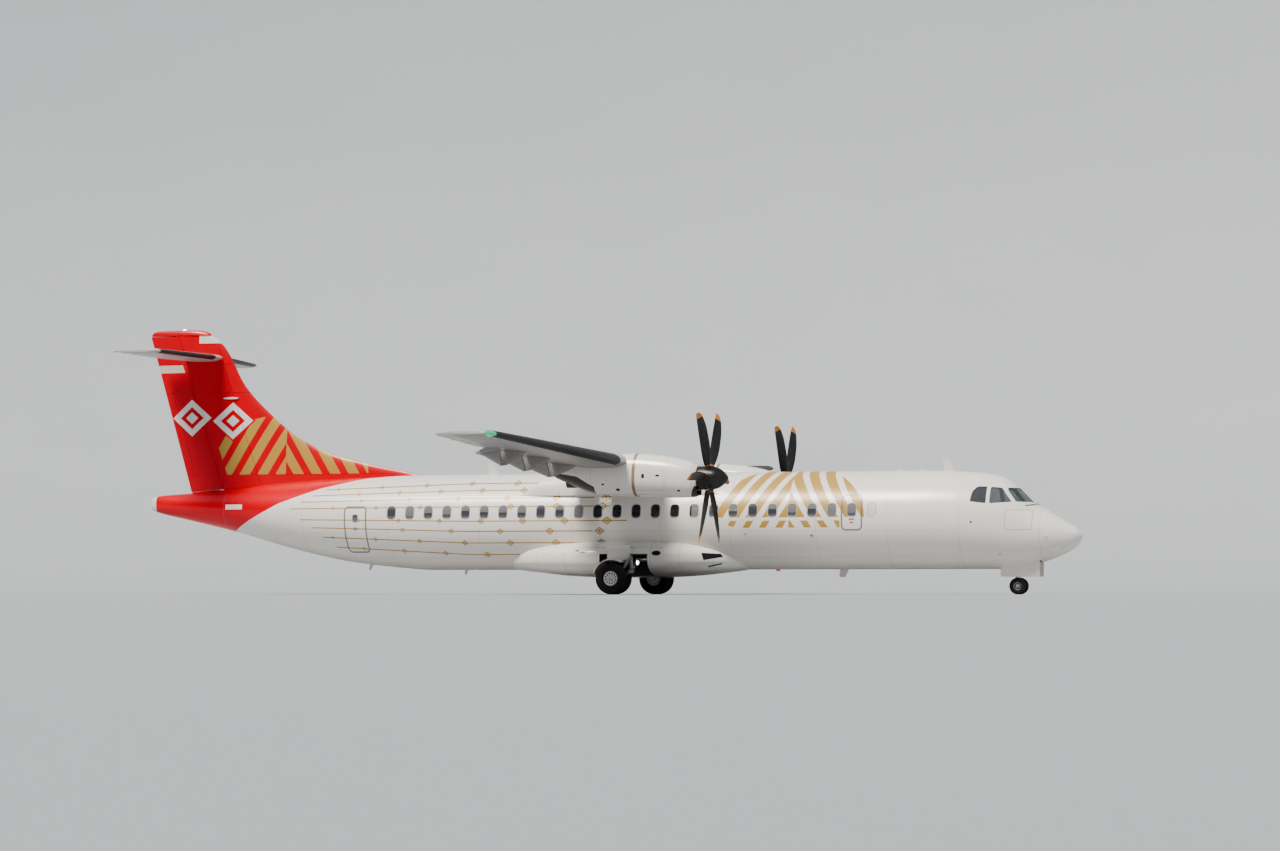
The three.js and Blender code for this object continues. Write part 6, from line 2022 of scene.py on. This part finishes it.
# Navigation lamps: clear caps over each wing tip's leading corner, with a coloured lens inside
for side, sign in SIDES:
    lens = lamp_red if sign > 0 else lamp_green
    tip = common(flat_surface(WING, (13.2, *TIP_ROWS[1:, 0]), CAMBER, .0015), block((11.9, 12.2),
        (13.2, 13.6), (3.6, 4.2)))
    tip = tip if sign > 0 else flipped(tip)
    fit(tip, f"navigation_lens_{side}", "flight_deck_glass", lens)
    # Probes, vents and small round ports on the nose
    for number, (station, z, length) in enumerate(((.88, 1.56, .17), (.66, 1.24, .11))):
        root = spot(station, sign * (hull_y(station, z) - .01), z)
        foot = root + Vector((.02, sign * .055, 0))
        probe = joined(bar(root, foot, .01, .008), bar(foot - Vector((.03, 0, 0)),
            foot + Vector((length, 0, 0)), .011, .007))
        fit(probe, f"probe_{number}_{side}", "gear_steel", gear_metal)
    # The first two ports are near-black discs of painted shade; the others are metal
    for number, (station, z, size) in enumerate(((2.07, 1.08, .02), (2.77, 1.93, .026), (8.98, 1.63, .022),
            (7.12, 1.6, .048))):
        y = hull_y(station, z)
        blister(f"static_port_{number}_{side}", "gear_steel", dark_hollow if number < 2 else gear_metal,
            (NOSE_X - station, sign * y, z), (size, .006, size))
    # Wipers, laid along the foot of each windscreen
    rod = []
    for station, y in ((1.18, .16), (1.28, .4), (1.42, .62)):
        top, bottom, half, wide = smooth_curve(HULL, station)[0]
        rod.append(spot(station, sign * y, wide + (top - wide) * math.sqrt(1 - (y / half) ** 2) + .014))
    fit(tube([rod[0] - Vector((0, 0, .03)), *rod], .009, "wiper"), f"wiper_{side}", "gear_steel",
        seal_rubber)

# Static wicks on trailing edges, each on the surface that carries it
def wicks(table, ys, body, name):
    for count, y in enumerate(ys):
        _, nose, chord, height, _ = row_at(table, y)
        tail = spot(nose + chord, y, height)
        rod = bar(tail + Vector((.04, 0, 0)), tail - Vector((.11, 0, 0)), .0045, .003, 10)
        fit_pair(rod, f"{name}_{count}_left", "gear_steel", seal_rubber, body=body)


wicks(WING, (10.5, 11.6, 12.7), "aileron_left", "aileron_wick")
wicks(TAILPLANE, (1.9, 2.6, 3.2), "elevator_left", "elevator_wick")
for number, z in enumerate((4.15, 4.45, 5.0, 5.3, 6.9, 7.2)):
    edge = spot(on_line(z, *RUDDER_EDGE), 0, z)
    rod = bar(edge + Vector((.05, 0, .01)), edge + Vector((-.09 if z < 6.5 else .0, 0, -.03)), .006, .004,
        10)
    fit(rod, f"rudder_wick_{number}", "gear_steel", white_fitting, body="rudder")
for side, sign in SIDES:
    blister(f"fin_side_fairing_{side}", "white_paint", white_fitting, (NOSE_X - 24.62, sign * .105, 5.62),
        (.24, .045, .035))

# Lamps on the gear: a landing lamp on each main leg, and a taxi lamp on the nose leg
def head_lamp(name, centre, radius):
    cup = bar(centre - Vector((.075, 0, 0)), centre + Vector((.012, 0, 0)), radius * .55, radius * 1.12, 32)
    cut(cup, bar(centre - Vector((.02, 0, 0)), centre + Vector((.03, 0, 0)), radius * .98, sides=32))
    fit(cup, name + "_case", "gear_steel", gear_metal)
    blister(name + "_lens", "flight_deck_glass", lamp_clear, centre - Vector((.018, 0, 0)),
        (.018, radius * .96, radius * .96))


GEAR_LAMPS = (  # name, radius, bracket's radius, then station, y and z of the lamp and of the bracket's ends
    ("landing", .062, .018, (11.86, 1.86, .86), (11.95, 1.86, .86), (11.975, 1.8, .78)),
    ("taxi", .045, .014, (1.6, .105, .95), (1.66, .105, .95), (1.7, .04, .95)))
for name, radius, thick, *places in GEAR_LAMPS:
    for side, sign in SIDES:
        centre, start, end = (spot(s, sign * y, z) for s, y, z in places)
        head_lamp(f"{name}_lamp_{side}", centre, radius)
        fit(bar(start, end, thick), f"{name}_lamp_bracket_{side}", "gear_steel", gear_metal)

# Torque links in front of the nose leg: the upper pair is fixed, the lower pair steers
TORQUE_LINKS = (  # name, body, then distance ahead and height of the low end and of the high end
    ("upper", "airframe", .1, .55, .045, .72),
    ("lower", "nose_steering", .1, .54, .033, .3))
for name, body, ahead, low, back, high in TORQUE_LINKS:
    for side, sign in SIDES:
        start, end = Vector((ahead, -sign * .018, -low)), Vector((back, -sign * .05, -high))
        fit(bar(base - start, base - end, .012, .016, 20), f"torque_link_{name}_{side}", "gear_steel",
            gear_metal, body=body)

# %% Flight deck fittings
fit(bevelled("flight_deck_fittings", "flight_deck_fittings_soft", .015, 2), "flight_deck_fittings_soft",
    "deck_plastic", deck_grey, "flight_deck_fittings")
print("fittings ready")


# %% [markdown]
# ## Air stair, door frames and seals
# The passenger door folds down to be the stair, so its steps are wedges whose treads come level when
# the door is open. The baggage door has ribs inside. A low ridge seals the slit under the rudder.

# %% Inside the doors
STEP_PITCH, DOOR_SWING = .295, math.radians(118)


def stair_finish():
    finish = Finish("stair_tread")
    grain = finish.noise(70, 3)
    ridges = finish.x.cycle(.02) < .5
    finish.body = finish.mix(grain * .5, (.13, .13, .135), (.08, .08, .085))
    return finish.done(grain * .2 + .55, ridges * .6 + grain * .2, .002, .5)


def inner_face(station, z):
    return hull_y(station, z) - .09


tread_dark = stair_finish()
steps = []
for k in range(5):
    low = 1.27 + STEP_PITCH * k
    y = inner_face(20.46, low)
    tip = (y + .235 * math.cos(DOOR_SWING), low + .235 * math.sin(DOOR_SWING))
    top = inner_face(20.46, low + STEP_PITCH)
    side_view = [(y + .02, low), tip, (tip[0] + .006, tip[1] + .012), (top + .02, low + STEP_PITCH - .012)]
    steps.append(loft("step", [[(NOSE_X - s, a, b) for a, b in side_view] for s in (20.17, 20.75)]))
fit(joined(steps[0], *steps[1:]), "air_stair_steps", "deck_plastic", tread_dark, body="passenger_door")
for number, station in enumerate((20.12, 20.8)):
    rail = tube([spot(station, inner_face(station, low) + out, z) for low, out, z in ((1.32, .01, 1.32),
        (1.45, -.11, 1.5), (2.1, -.13, 2.1), (2.62, -.09, 2.6), (2.72, .01, 2.72))], .014, "rail")
    fit(rail, f"air_stair_rail_{number}", "gear_steel", bright_metal, body="passenger_door")

ribs = [block((s - .02, s + .02), (.5, 1.6), (1.22, 2.62)) for s in (3.5, 3.96, 4.42)]
ribs += [block((3.42, 4.5), (.5, 1.6), (z - .02, z + .02)) for z in (1.5, 1.95, 2.4)]
ribs = common(joined(ribs[0], *ribs[1:]), cut(hull_between(3.3, 4.6, .088), hull_between(3.2, 4.7, .125)))
fit(ribs, "cargo_door_ribs", "white_paint", flat_paint("door_rib_primer", (.3, .33, .26), .6),
    body="cargo_door")

# A ridge along the tail cone, which closes most of the slit under the rudder's foot
ridge = common(hull_between(24.99, 25.85, -.02), block((25.14, 25.85), (-.012, .012), (2.7, 3.2)))
joined(ridge, common(hull_between(24.95, 25.15, -.011), block((24.99, 25.145), (-.012, .012), (2.7, 3.2))))
fit(ridge, "rudder_foot_seal", "red_paint", red_paint)

# Handles: a recessed bar on each door and exit
for name, (side, station, sill, width, height, *_) in DOORS.items():
    level = sill + height * (.3 if name.startswith("emergency") else .52)
    y = hull_y(station, level)
    handle = block((station - .075, station + .075), (side * (y - .012), side * (y + .007)), (level - .016,
        level + .016))
    fit(handle, name + "_handle", "gear_steel", gear_metal, body=bearer(name))
print("door fittings ready")


# %% [markdown]
# ## The end
# The dressed aircraft has to keep the CAD model's size.

# %% Finish
bpy.context.view_layer.update()
